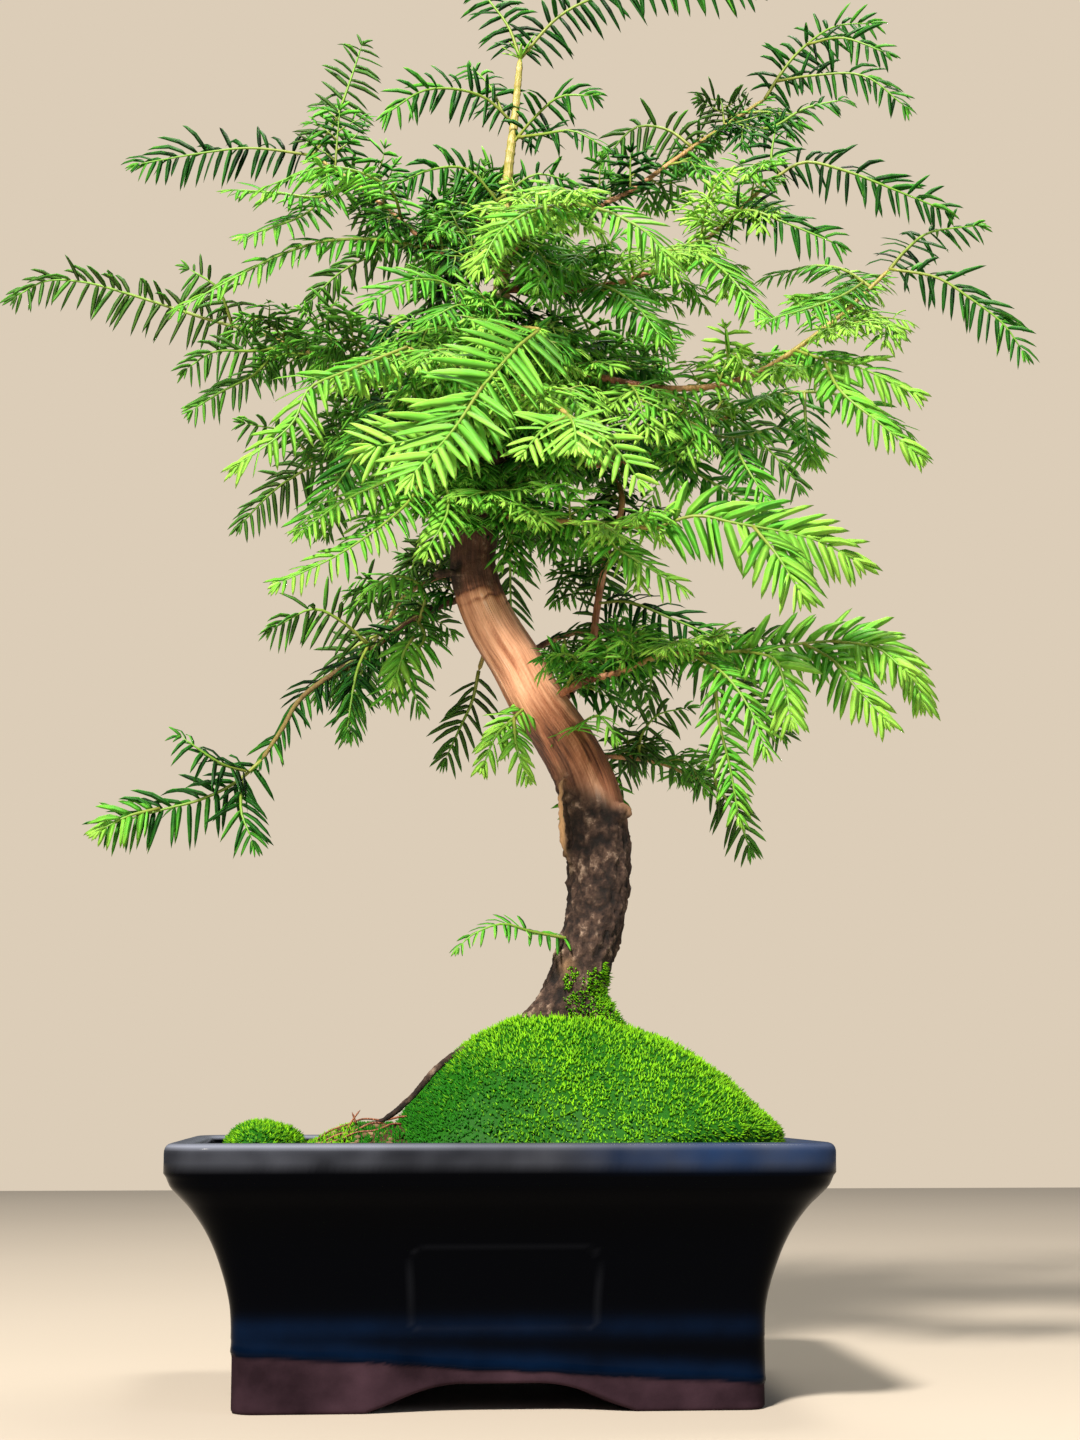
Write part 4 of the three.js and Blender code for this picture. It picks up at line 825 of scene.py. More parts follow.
# Old bark splits into plates a few millimetres wide and longer than that, each at its own height and colour.
PLATE = 3.1
wander = np.column_stack([noise_at(straight + shift, 5) for shift in (0, 30, 60)])
cells = [noise.voronoi(Vector(p) / PLATE) for p in ((straight + 1.3 * wander) * (1, 1, 0.6)).tolist()]
split = np.array([distances[1] - distances[0] for distances, _ in cells])
seeds = np.array([tuple(spots[0]) for _, spots in cells])
plate_tone = (np.sin(seeds @ (12.99, 78.23, 37.72)) * 43758.5) % 1  # from 0 to 1, scrambled from its place
rough = smoothstep(203, 189, height + 0.5 * (bark_points[:, 0] - 33) + 5 * noise_at(bark_points, 14))
dead_twig = smoothstep(-9, -12, bark_points[:, 0]) * smoothstep(259, 263, height) * smoothstep(274, 271, height)
crevice = smoothstep(0.14, 0.02, split)
flakes = noise_at(straight * (1, 1, 0.7), 2.4, 2)
furrows = noise_at(straight * (1, 1, 0.3) + 70, 3, 2)
lengthwise = straight * (1, 1, 0.07)
streak = noise_at(lengthwise, 2.6, 4)
folds = noise_at(lengthwise + 20, 8)
rings = np.exp(-(((ahead + 2.2 * noise_at(straight, 7)) % 4.4 - 2.2) ** 2) / 0.22)
slim = smoothstep(300, 385, height)
relief = 0.5 * (plate_tone - 0.5) * (1 - crevice) - 0.4 * crevice + 0.7 * flakes + 0.7 * furrows + 0.5 * folds
swell = rough * relief
wrinkled = smoothstep(256, 262, height) * smoothstep(290, 282, height)
swell += (1 - rough) * (1 - slim) * (0.55 * folds + 0.25 * streak - 0.3 * wrinkled * rings) + 0.22 * slim * rings
on_root = (bark_points[:, 0] < 4) & (height < 113)
bark_points += bark_normals * np.where(on_root, 0.25 * swell, swell)[:, None]


def near(points, centre, reach):
    """1 at a place, fading to 0 at a distance along each axis."""
    return np.exp(-(((points - centre) / reach) ** 2).sum(axis=1))


# Where the old bark has peeled or been cut, paler wood and inner bark show.
pale = 1.4 * near(bark_points, (22.4, -3.5, 184), (2, 4, 13)) + near(bark_points, (48, -6, 189), (2.5, 4, 2.5))
pale += 0.5 * near(bark_points, (24, -12, 136), (2.5, 5, 3))


def bark_looks(tree):
    place = add_node(tree, "ShaderNodeTexCoord", out="Object")
    grit = add_node(tree, "ShaderNodeTexNoise", {"Vector": place, "Scale": 850, "Detail": 6, "Roughness": 0.7})
    straight = add_node(tree, "ShaderNodeAttribute", out="Vector", attribute_name="straight")
    drawn_out = add_node(tree, "ShaderNodeMapping", {"Vector": straight, "Scale": (1, 1, 0.06)})
    fibre = add_node(tree, "ShaderNodeTexNoise", {"Vector": drawn_out, "Scale": 1.7, "Detail": 5})
    rough, streak, straw, pale, crevice, plate = (
        add_node(tree, "ShaderNodeAttribute", out="Fac", attribute_name=mark)
        for mark in ("rough", "streak", "straw", "pale", "crevice", "plate")
    )
    mottle = add_node(tree, "ShaderNodeMix", {"Factor": 0.5, "A": plate, "B": grit})
    flaky = add_node(
        tree,
        "ShaderNodeValToRGB",
        {"Fac": mottle},
        stops=[(0.3, "#120a08"), (0.72, "#a8917f"), (0.43, "#302019"), (0.57, "#544035")],
    )
    # Crevices between the plates are painted near black, as painted shade in them.
    crack = add_node(tree, "ShaderNodeMath", {0: crevice, 1: 0.55}, operation="MULTIPLY")
    old = add_node(tree, "ShaderNodeMix", {"Factor": crack, "A": flaky, "B": "#140c0a"}, data_type="RGBA")
    # Besides the young bark's streaks, the streak mark carries its painted highlight and painted shade.
    sheen = add_node(tree, "ShaderNodeMix", {"Factor": 0.35, "A": streak, "B": fibre})
    young = add_node(
        tree,
        "ShaderNodeValToRGB",
        {"Fac": sheen},
        stops=[(0, "#1c0d08"), (0.84, "#fff6ea"), (0.14, "#542a1b"), (0.3, "#b07252"), (0.5, "#eab08c")],
    )
    stem = add_node(tree, "ShaderNodeMix", {"Factor": fibre, "A": "#6c6c26", "B": "#ccc062"}, data_type="RGBA")
    bark = add_node(tree, "ShaderNodeMix", {"Factor": rough, "A": young, "B": old}, data_type="RGBA")
    whole = add_node(tree, "ShaderNodeMix", {"Factor": straw, "A": bark, "B": stem}, data_type="RGBA")
    height = add_node(tree, "ShaderNodeMix", {"Factor": rough, "A": fibre, "B": grit})
    colour = add_node(tree, "ShaderNodeMix", {"Factor": pale, "A": whole, "B": "#dcae80"}, data_type="RGBA")
    return {
        "Base Color": colour,
        "Roughness": add_node(tree, "ShaderNodeMix", {"Factor": rough, "A": 0.36, "B": 0.88}),
        "Normal": add_node(tree, "ShaderNodeBump", {"Height": height, "Strength": 0.9, "Distance": 0.7 * MM}),
    }


# Bark of dawn redwood: matt and dark where old, with a soft sheen where young.
redwood_bark = new_material("redwood_bark", bark_looks, **{"Specular IOR Level": 0.45})
# Painted shade: the trunk's top, under the crown, is darkened and takes the old bark's dark colour. Lower down, the
# young bark's own colour is darker.
shaded = smoothstep(259, 267, height) * smoothstep(345, 300, height)
dim = np.maximum(shaded, 0.45 * smoothstep(232, 208, height) * (1 - rough))
# A painted highlight makes the upper trunk palest along its front left, where light falls on it, and painted shade
# makes it darker and redder round its sides.
painted_highlight = smoothstep(0.86, 0.99, bark_normals @ (-0.36, -0.91, 0.2)) * smoothstep(205, 226, height)
painted_side_shade = smoothstep(0.62, 0.1, -bark_normals[:, 1])
grain = 0.46 + 0.28 * streak + 0.12 * folds + 0.55 * painted_highlight - 0.22 * painted_side_shade
trunk = make_piece(
    "trunk_bark",
    bark_points,
    [bark_faces],
    [redwood_bark],
    {
        # The streak mark holds the painted highlight and shade, with the wrinkles' rings painted dark as shade in
        # their creases, and the rough mark gives the shaded top its painted shade.
        "rough": np.maximum.reduce([rough, dead_twig, 0.75 * shaded]),
        "streak": np.clip(grain - 0.85 * dim - 0.9 * rings * wrinkled, 0, 1),
        "straw": smoothstep(318, 392, height) * (0.75 + 0.25 * (1 - rings)),
        "pale": np.clip(pale, 0, 1),
        "crevice": crevice,
        "plate": np.clip(0.42 + 0.3 * (plate_tone - 0.5) + 0.26 * noise_at(straight, 9) + 0.4 * flakes, 0, 1),
        "straight": straight,
    },
)
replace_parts(trunk, "trunk_and_branches")
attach(trunk, "root")

# Moss creeps from the mound up the right side of the trunk's foot.
uneven_edge = noise_at(bark_points, 7)
climbing = (height > 98) & (height < 134 + 5 * uneven_edge) & (bark_points[:, 0] > 23 + 4 * uneven_edge)
climbing &= (bark_normals[:, 1] < 0.75) & (noise_at(bark_points, 5) > -0.4)
candidates = np.flatnonzero(climbing & (np.hypot(bark_points[:, 0] - 27, bark_points[:, 1]) < 26))
chosen = moss_random.choice(candidates, MOSS_LEAVES["trunk"])
climbing_bases = bark_points[chosen] + moss_random.normal(0, 0.35, (len(chosen), 3))
moss_piece(
    "moss_on_trunk", np.zeros((0, 3)), [], climbing_bases, bark_normals[chosen],
    moss_random.uniform(0.8, 1.9, len(chosen)),
)


# Rootlets
#
# Fine feeding roots, grown out of the root ball, lie bare on the soil between the mound and the low tuft. They are
# reddish-brown and thin as wire, and two dead twigs stand among them.

ROOTLETS = [  # plan of each, and how high its ends lift off the soil
    ([(-36, -22), (-48, -27), (-60, -24), (-70, -27)], (0.6, 0.2)),
    ([(-30, -26), (-41, -32), (-52, -30), (-58, -36)], (0.8, 0.1)),
    ([(-26, -12), (-40, -10), (-50, -16), (-60, -14)], (2.5, 0.3)),
    ([(-44, -20), (-45, -20), (-46, -21), (-46.5, -21)], (0.2, 7)),
    ([(-47, -21), (-46, -22), (-44.5, -22), (-43, -22)], (0.2, 5)),
]
ROOTLET_RADII, ROOTLET_SIDES = (0.38, 0.26), 6
rootlet_points, rootlet_faces = [], []
for plan, lifts in ROOTLETS:
    plan = spline([(x, y, 0) for x, y in plan], 1)[:, :2]
    lift = np.linspace(*lifts, len(plan)) + 0.5 + 0.4 * np.sin(np.arange(len(plan)) / 2)
    route = np.column_stack([plan, soil_height(*plan.T) + lift])
    rings = tube([tuple(p) for p in route[::2]], ROOTLET_RADII, ROOTLET_SIDES, 1)
    rootlet_faces += tube_faces(len(rings), ROOTLET_SIDES, sum(map(len, rootlet_points)))
    rootlet_points.append(rings.reshape(-1, 3))
rootlet_points = np.vstack(rootlet_points)
rootlets = make_piece(
    "rootlets", rootlet_points, [rootlet_faces], [redwood_bark],
    {"streak": 0.08 + 0.1 * noise_at(rootlet_points, 5), "straight": rootlet_points},
)
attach(rootlets, "root")


# Branches
#
# Slim branches leave the trunk and leader on small collars. They are brown where thick, and the last season's
# growth is straw-yellow to green.

BRANCH_SIDES, BRANCH_SLIMNESS = 8, 0.56
branch_points, branch_faces, branch_marks = [], [], {"rough": [], "streak": [], "straw": [], "straight": []}
count = 0
for number, (name, (radii, path)) in enumerate(BRANCHES.items()):
    rings = tube(path, np.array(radii) * BRANCH_SLIMNESS, BRANCH_SIDES, 2, collar=0.9)
    shares = np.repeat(np.linspace(0, 1, len(rings)), BRANCH_SIDES)
    points = rings.reshape(-1, 3)
    centres = np.repeat(rings.mean(axis=1), BRANCH_SIDES, axis=0)
    points = centres + (points - centres) * (1 + 0.16 * noise_at(points + 9 * number, 3))[:, None]
    branch_faces += tube_faces(len(rings), BRANCH_SIDES, count)
    count += len(points)
    branch_points.append(points)
    branch_marks["streak"].append(np.clip(0.15 + 0.3 * noise_at(points, 7), 0, 1))
    branch_marks["straight"].append(points)
    dark = name == "low_left_long"
    branch_marks["rough"].append(np.full(len(points), 0.8 * dark))
    branch_marks["straw"].append((0.4 if dark else 0.8) * smoothstep(0.3, 0.95, shares + 0.2 * noise_at(points, 12)))
branches = make_piece(
    "branch_bark",
    np.vstack(branch_points),
    [branch_faces],
    [redwood_bark],
    {mark: np.concatenate(values) for mark, values in branch_marks.items()},
)
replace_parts(branches, "trunk_and_branches")
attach(branches, "root")


# Leafy shoots
#
# Soft flat needles stand in two opposite rows on slim green stems, which are shed whole in autumn. New growth is
# light yellow-green, and older needles are deep green. Each spray leaves its branch where the CAD's does.

# For each spray: its branch, the share of the branch's length where it leaves, its longest needle, how fresh it is
# from 0 to 1 (with painted light: lower where the spray stood in shade, higher where lit), the points that its stem
# passes through, and its forks, each with its share of the stem.
SPRAYS = {
    "apex": ("trunk", 1, 17, 0.15, [(23, -4, 471), (40, -6, 479), (63, -8, 482), (90, -8, 481)],
        [(0, [(5, 4, 470), (-2, 8, 482), (-9, 10, 493)])]),
    "leader_left": ("trunk", 0.94, 15, 0.35, [(-5, -6, 439), (-24, -12, 438), (-38, -14, 428)],
        [(0.1, [(-2, 6, 449), (-8, 10, 457)])]),
    "leader_right": ("trunk", 0.92, 14, 0.25, [(14, -6, 432), (22, -12, 437), (33, -16, 436)],
        [(0.1, [(16, -12, 423), (26, -18, 422), (36, -20, 416)])]),
    "leader_low": ("trunk", 0.86, 14, 0.35, [(-10, -8, 411), (-22, -12, 409), (-34, -16, 402)],
        [(0.1, [(14, -8, 410), (25, -8, 408)])]),
    "upper_left_tip": ("upper_left", 1, 17, 0.15, [(-86, 20, 428), (-101, 20, 426), (-125, 18, 420)],
        [(0, [(-57, 26, 440), (-52, 30, 456), (-47, 32, 474)])]),
    "upper_left_mid": ("upper_left", 0.79, 15, 0.55, [(-61, 4, 404), (-76, -4, 402), (-90, -8, 401)],
        [(0.35, [(-67, -6, 393), (-86, -14, 382)])]),
    "upper_left_front": ("upper_left", 0.51, 17, 0.6, [(-37, -2, 406), (-57, -14, 408), (-78, -20, 398)], []),
    "upper_left_low": ("upper_left", 0.3, 15, 0.6, [(-37, 2, 388), (-57, -2, 386), (-73, -4, 380),
        (-108, -8, 358)], []),
    "long_left_tip": ("long_left", 1, 16, 0.1, [(-100, 48, 373), (-131, 50, 383), (-147, 50, 387),
        (-161, 50, 387), (-171, 50, 381)],
        [(0.12, [(-98, 38, 382), (-108, 36, 388)])]),
    "long_left_mid": ("long_left", 0.87, 15, 0.35, [(-84, 30, 356), (-98, 26, 354), (-107, 24, 347)],
        [(0.2, [(-83, 22, 345), (-95, 16, 336), (-104, 14, 329)])]),
    "front_left_tip": ("front_left", 1, 17, 0.79, [(-51, -62, 320), (-62, -66, 313), (-67, -68, 301),
        (-83, -70, 287)], []),
    "low_left_tip": ("low_left", 1, 16, 0.4, [(-42, -24, 313), (-51, -34, 294), (-65, -40, 275)], []),
    "low_left_mid": ("low_left", 0.36, 15, 0.75, [(-24, -28, 299), (-38, -40, 290), (-51, -50, 281), (-63, -56, 270)],
        [(0.3, [(-29, -40, 285), (-50, -54, 264), (-70, -60, 252)]), (0.15, [(-17, -36, 282), (-24, -42, 267)])]),
    "hero_left": ("front_mid", 1, 21, 0.7, [(3, -76, 325), (-8, -88, 309), (-15, -92, 300), (-25, -94, 291),
        (-41, -94, 287)],
        [(0.5, [(-19, -102, 289), (-30, -108, 275)])]),
    "hero_star": ("front_star", 1, 14, 0.85, [(19, -94, 295), (19, -101, 287)],
        [(0.1, [(27, -90, 294), (34, -92, 286), (39, -91, 279)]), (0.1, [(10, -93, 294), (4, -97, 286)])]),
    "dome": ("front_up", 1, 16, 0.78, [(35, -58, 377), (47, -62, 368), (55, -62, 356)],
        [(0.05, [(11, -60, 377), (-2, -68, 366), (-9, -70, 352)])]),
    "upper_right_tip": ("upper_right", 1, 16, 0.3, [(106, 20, 463), (113, 20, 472), (126, 20, 482), (140, 20, 484)],
        [(0.5, [(127, 12, 474), (142, 6, 466)]), (0.15, [(116, 12, 459), (133, 4, 456), (147, 0, 443)])]),
    "upper_right_mid": ("upper_right", 0.87, 15, 0.3, [(99, 4, 435), (110, -2, 440), (124, -4, 443)], []),
    "upper_right_top": ("upper_right", 0.71, 15, 0.3, [(64, 22, 441), (53, 26, 443), (42, 30, 432)], []),
    "mid_right_tip": ("mid_right", 1, 15, 0.15, [(104, -28, 409), (117, -32, 405), (136, -36, 396), (151, -36, 390)],
        [(0.05, [(95, -18, 414), (97, -16, 426)])]),
    "mid_right_low": ("mid_right", 0.78, 15, 0.3, [(83, -34, 389), (94, -40, 383), (112, -44, 374)], []),
    "mid_right_front": ("mid_right", 0.65, 17, 0.72, [(68, -40, 370), (75, -52, 358), (83, -58, 344)], []),
    "far_right_tip": ("far_right", 1, 15, 0.3, [(146, -42, 364), (157, -44, 356), (167, -46, 347), (173, -46, 338)],
        [(0, [(138, -32, 377), (147, -28, 385), (165, -26, 389)])]),
    "far_right_back": ("far_right", 0.94, 15, 0.5, [(117, -26, 372), (108, -20, 375), (93, -18, 371)],
        [(0.1, [(112, -50, 354), (99, -60, 346), (84, -64, 340)])]),
    "far_right_low": ("far_right", 0.72, 14, 0.82, [(107, -44, 334), (116, -50, 330), (134, -54, 320)],
        [(0.3, [(110, -56, 319), (121, -62, 307), (133, -64, 296)])]),
    "under_right_tip": ("under_right", 1, 14, 0.5, [(117, -4, 335), (130, -8, 328), (142, -10, 320)],
        [(0.1, [(107, -10, 322), (108, -14, 308)])]),
    "under_right_mid": ("under_right", 0.69, 16, 0.5, [(83, -8, 317), (98, -14, 319), (110, -16, 312)],
        [(0.35, [(84, -20, 304), (90, -24, 292)])]),
    "under_right_low": ("under_right", 0.62, 17, 0.5, [(69, -4, 306), (80, -8, 298), (91, -12, 289),
        (98, -14, 280)], []),
    "front_low_right_tip": ("front_low_right", 1, 19, 0.85, [(60, -64, 275), (72, -68, 272), (97, -72, 266),
        (109, -72, 260)],
        [(0.5, [(84, -78, 259), (90, -80, 248)])]),
    "front_low_right_mid": ("front_low_right", 0.75, 15, 0.75, [(35, -56, 267), (43, -62, 260), (55, -64, 252)], []),
    "upright_low": ("upright", 0.34, 15, 0.2, [(48, 8, 262), (61, 0, 255), (72, -2, 250), (82, -4, 245)], []),
    "upright_tip": ("upright", 1, 15, 0.4, [(46, 48, 366), (58, 56, 374), (70, 62, 374)],
        [(0.18, [(38, 40, 368), (30, 30, 380)])]),
    "low_right_tip": ("low_right", 1, 16, 0.85, [(87, -36, 238), (103, -38, 240), (122, -38, 240),
        (132, -41, 233), (137, -42, 221)],
        [(0.38, [(108, -46, 232), (113, -52, 223), (121, -58, 212)]), (0.12, [(88, -48, 232), (90, -54, 222),
            (91, -58, 211)]),
         (0.5, [(121, -50, 236), (128, -56, 228)])]),
    "low_right_mid": ("low_right", 0.88, 15, 0.7, [(72, -44, 228), (79, -50, 216), (83, -54, 203)],
        [(0.3, [(71, -38, 214), (75, -34, 200), (78, -33, 183)])]),
    "behind_right_tip": ("behind_right", 1, 15, 0.1, [(84, 40, 200), (90, 42, 192), (94, 42, 181)],
        [(0.2, [(80, 30, 208), (80, 20, 216)])]),
    "behind_right_mid": ("behind_right", 0.6, 14, 0.1, [(53, 22, 217), (58, 16, 224), (68, 12, 226)],
        [(0.3, [(50, 40, 210), (44, 48, 200)])]),
    "near_trunk_left": ("low_right", 0.14, 11, 0.7, [(27, -16, 237), (21, -22, 238), (14, -26, 231)], []),
    "near_trunk_low": ("trunk", 0.38, 12, 0.6, [(30, -12, 217), (34, -18, 218), (39, -22, 211)], []),
    "low_left_long_tip": ("low_left_long", 1, 18, 0.3, [(-87, 18, 199), (-99, 18, 193), (-110, 18, 190),
        (-130, 18, 184)],
        [(0.1, [(-91, 6, 204), (-104, 0, 212)]), (0.15, [(-84, 8, 188), (-80, 4, 178)])]),
    "low_left_long_mid": ("low_left_long", 0.47, 16, 0.25, [(-52, 22, 257), (-61, 18, 260), (-75, 14, 252)],
        [(0.05, [(-46, 14, 237), (-49, 6, 216)])]),
    "low_left_long_near": ("low_left_long", 0.3, 15, 0.5, [(-23, 8, 248), (-30, 0, 237), (-35, -4, 226)],
        [(0.1, [(-23, 12, 266), (-33, 4, 269), (-44, 0, 262)])]),
    "low_back_left": ("low_back_left", 1, 15, 0.05, [(-5, 38, 232), (-9, 40, 223), (-14, 42, 212)], []),
    "trunk_hang": ("trunk", 0.42, 11, 0.95, [(5, -8, 217), (0, -14, 211), (-4, -16, 201)],
        [(0.4, [(7, -20, 206), (10, -22, 197)])]),
    "basal_sprig": ("trunk", 0.2, 9, 0.5, [(12, -12, 147), (2, -18, 149), (-8, -20, 145), (-12, -22, 141)], []),
    "crown_left": ("trunk", 0.72, 16, 0.5, [(-12, -20, 362), (-28, -32, 362), (-42, -38, 352)],
        [(0.3, [(-14, -36, 352), (-24, -50, 342)])]),
    "crown_right": ("mid_right", 0.3, 16, 0.5, [(36, -30, 362), (44, -42, 352), (52, -50, 338)],
        [(0.2, [(44, -30, 354), (60, -36, 346)])]),
    "back_top": ("back_top", 1, 16, 0.1, [(-17, 76, 406), (-20, 92, 396), (-20, 104, 382)],
        [(0.1, [(-34, 68, 410), (-54, 74, 402), (-66, 76, 390)]), (0.15, [(4, 74, 410), (22, 82, 404),
            (34, 86, 392)])]),
    "back_left": ("back_left", 1, 16, 0.1, [(-64, 78, 327), (-78, 84, 319), (-90, 88, 307)],
        [(0.15, [(-54, 88, 322), (-58, 104, 308)]), (0.3, [(-72, 66, 336), (-88, 60, 338)])]),
    "back_right": ("back_right", 1, 16, 0.1, [(90, 74, 349), (108, 80, 340), (122, 84, 326)],
        [(0.1, [(76, 84, 348), (80, 104, 336)]), (0.3, [(98, 62, 362), (116, 54, 366)])]),
    "back_middle": ("back_middle", 1, 16, 0.1, [(12, 96, 298), (13, 106, 284), (14, 110, 270)],
        [(0.05, [(-6, 92, 304), (-24, 100, 294), (-34, 102, 282)]), (0.1, [(30, 94, 304), (46, 100, 294),
            (56, 102, 282)])]),
    "back_low_right": ("back_low_right", 1, 16, 0.1, [(84, 76, 252), (100, 80, 242), (114, 82, 228)],
        [(0.1, [(66, 88, 252), (66, 102, 240)]), (0.3, [(94, 64, 260), (110, 56, 260)])]),
    "back_low_left": ("back_low_left", 1, 16, 0.1, [(-42, 80, 256), (-46, 94, 244), (-48, 102, 230)],
        [(0.1, [(-50, 68, 254), (-60, 74, 240)]), (0.3, [(-30, 88, 252), (-22, 98, 240)])]),
}

NEEDLE_TILT, NEEDLE_DROOP = 0.45, 0.16
# The sections of a needle: where each stands along it, how wide it is, and how many corners it has
NEEDLE_SECTIONS = {
    "broad": ([0, 0.1, 0.34, 0.62, 0.86], [0.32, 0.86, 1, 0.9, 0.55], 4),
    "slender": ([0, 0.16, 0.5, 0.84], [0.4, 0.95, 1, 0.62], 3),
    "plain": ([0, 0.38, 0.8], [0.55, 1, 0.72], 3),
}


class Foliage:
    """Needles and stems gathered for one piece."""

    def __init__(self, seed):
        self.random = np.random.default_rng(seed)
        self.needles = []  # base, direction, face, length, breadth, sag and freshness (with painted light) of each
        self.stems = []

    def add_shoot(self, path, face, leaf, fresh_and_lit, spacing=3.1, width=0.13, sag=0.4, spread=74, scatter=0.16, stem=0.7):
        """A stem along a path, with needles up to `leaf` long that turn their flat sides to `face`."""
        random = self.random
        at, along, up, across = frames_along(path, 1, face)
        length = np.linalg.norm(np.diff(at, axis=0), axis=1).sum()
        bare = min(2.5, 0.1 * length)
        count = max(2, round((length - bare) / spacing))
        for sign in (-1, 1):
            share = (bare + (np.arange(count) + 0.5) * (length - bare) / count) / length
            share = np.clip(share + random.normal(0, 0.12 * spacing / length, count), 0, 1)
            k = np.clip((share * (len(at) - 1)).astype(int), 0, len(at) - 1)
            angle = np.radians(spread - 28 * share**1.5 + random.normal(0, 40 * scatter, count))[:, None]
            lift = random.normal(0.06, scatter, count)[:, None]
            aim = np.cos(angle) * along[k] + sign * np.sin(angle) * across[k] + lift * up[k]
            taper = 0.42 + 0.58 * np.sin(np.pi * (0.14 + 0.78 * share)) ** 0.8
            size = leaf * taper * random.uniform(0.84, 1.1, count)
            self.add_needles(at[k], aim, up[k], size, width, sag, fresh_and_lit + 0.26 * (share - 0.5))
        ends = np.radians([-28, -8, 14, 30])[:, None]
        aim = np.cos(ends) * along[-1] + np.sin(ends) * across[-1] + random.normal(0.05, 0.12, (4, 1)) * up[-1]
        size = leaf * random.uniform(0.28, 0.5, 4)
        self.add_needles(at[[-1] * 4], aim, up[[-1] * 4], size, width, sag, fresh_and_lit + 0.2)
        if stem:
            self.stems.append((path, stem, face, fresh_and_lit))

    def add_needles(self, base, aim, face, size, width, sag, fresh_and_lit):
        random, count = self.random, len(base)
        aim = unit(aim - (0, 0, NEEDLE_DROOP))
        side = unit(np.cross(aim, face))
        roll = random.normal(0, 0.35, count)[:, None]
        normal = np.cos(roll) * np.cross(side, aim) + np.sin(roll) * side
        size = np.broadcast_to(size, count)
        breadth = width * size ** 0.5 * 3.9 * random.uniform(0.88, 1.1, count)
        fresh_and_lit = np.clip(fresh_and_lit + random.normal(0, 0.08, count), 0, 1)
        sags = np.full(count, sag) * random.uniform(0.4, 1.5, count)
        self.needles.append((base, aim, normal, size, breadth, sags, fresh_and_lit))

    def add_twig(self, start, aim, length, leaf, fresh_and_lit, **manner):
        """A twig that rises a little and then bows, with short leafy shoots to either side."""
        random = self.random
        end = start + length * (aim - (0, 0, random.uniform(0.1, 0.45)))
        twig = [tuple(start), tuple(start + 0.55 * length * aim), tuple(end)]
        self.add_shoot(twig, facing(twig), leaf, fresh_and_lit, stem=0.5, **{"scatter": 0.22, **manner})
        places, ways, _, sides = frames_along(twig, 1, facing(twig))
        for order, share in enumerate(np.arange(0.18, 0.86, 4.4 / length)):
            m = int(share * (len(places) - 1))
            side = (-1) ** order * sides[m]
            reach = random.uniform(0.28, 0.5) * min(length, 34) * (1.15 - 0.6 * share) + 3
            tip = places[m] + reach * (0.68 * ways[m] + 0.72 * side + (0, 0, random.uniform(-0.4, 0.12)))
            middle = places[m] + 0.5 * reach * (0.62 * ways[m] + 0.78 * side)
            shoot = [tuple(places[m]), tuple(middle), tuple(tip)]
            size = leaf * random.uniform(0.75, 1)
            self.add_shoot(shoot, facing(shoot), size, fresh_and_lit + 0.12 * share, stem=0.35, **manner)

    def piece(self, name, section="plain"):
        """All its needles and stems as one mesh piece. The broadest needles have a keel below and more bends."""
        base, aim, normal, size, breadth, sag, fresh_and_lit = (np.concatenate(part) for part in zip(*self.needles))
        stations, widths, sides = NEEDLE_SECTIONS[section]
        stations, widths = np.array(stations), np.array(widths)
        count, rows = len(base), len(stations)
        t = stations[None, :, None]
        pull = sag[:, None] * ((0, 0, -1) + 0.25 * aim)
        # A needle that sags keeps its length
        size = size / np.clip(np.linalg.norm(aim + pull, axis=1), 0.95, 2)
        centre = base[:, None] + size[:, None, None] * (t * aim[:, None] + t**2 * pull[:, None])
        along = unit(aim[:, None] + 2 * t * pull[:, None])
        side = unit(np.cross(along, normal[:, None]))
        top = np.cross(side, along)
        half = (breadth[:, None] * widths / 2)[:, :, None]
        corners = [centre + side * half + 0.16 * half * top, centre - (0.14 + 0.1 * half) * top]
        corners += [centre - side * half + 0.16 * half * top, centre + (0.12 - 0.1 * half) * top][: sides - 2]
        each = rows * sides + 1
        points = np.stack(corners, axis=2).reshape(count, rows * sides, 3)
        tips = base + size[:, None] * (aim + pull)
        points = np.concatenate([points, tips[:, None]], axis=1).reshape(-1, 3)
        starts = each * np.arange(count)[:, None, None]
        faces = (starts + quads_between(rows, sides)).reshape(-1, 4).tolist()
        last = [((rows - 1) * sides + k, (rows - 1) * sides + (k + 1) % sides, each - 1) for k in range(sides)]
        faces += (starts + last).reshape(-1, 3).tolist()
        faces += (starts[:, 0] + list(reversed(range(sides)))).tolist()
        marks = {
            "fresh_and_lit": [np.repeat(fresh_and_lit, each)],
            "along": [np.tile(np.r_[np.repeat(stations, sides), 1], count)],
            "rib": [np.tile(np.r_[np.tile([0, 1, 0, 1][:sides], rows), 0], count)],
        }
        stem_faces, points = [], [points]
        for path, radius, face, green in self.stems:
            rings = tube(path, (radius, 0.75 * radius, 0.42 * radius), 4, 3.4, face)
            stem_faces += tube_faces(*rings.shape[:2], start=sum(map(len, points)))
            points.append(rings.reshape(-1, 3))
            marks["fresh_and_lit"].append(np.full(len(points[-1]), green))
            marks["along"].append(np.repeat(np.linspace(0, 1, len(rings)), rings.shape[1]))
            marks["rib"].append(np.zeros(len(points[-1])))
        piece = make_piece(
            name,
            np.vstack(points),
            [faces, stem_faces],
            [soft_needles, green_stem],
            {mark: np.concatenate(values) for mark, values in marks.items()},
        )
        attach(piece, "root")
        return piece


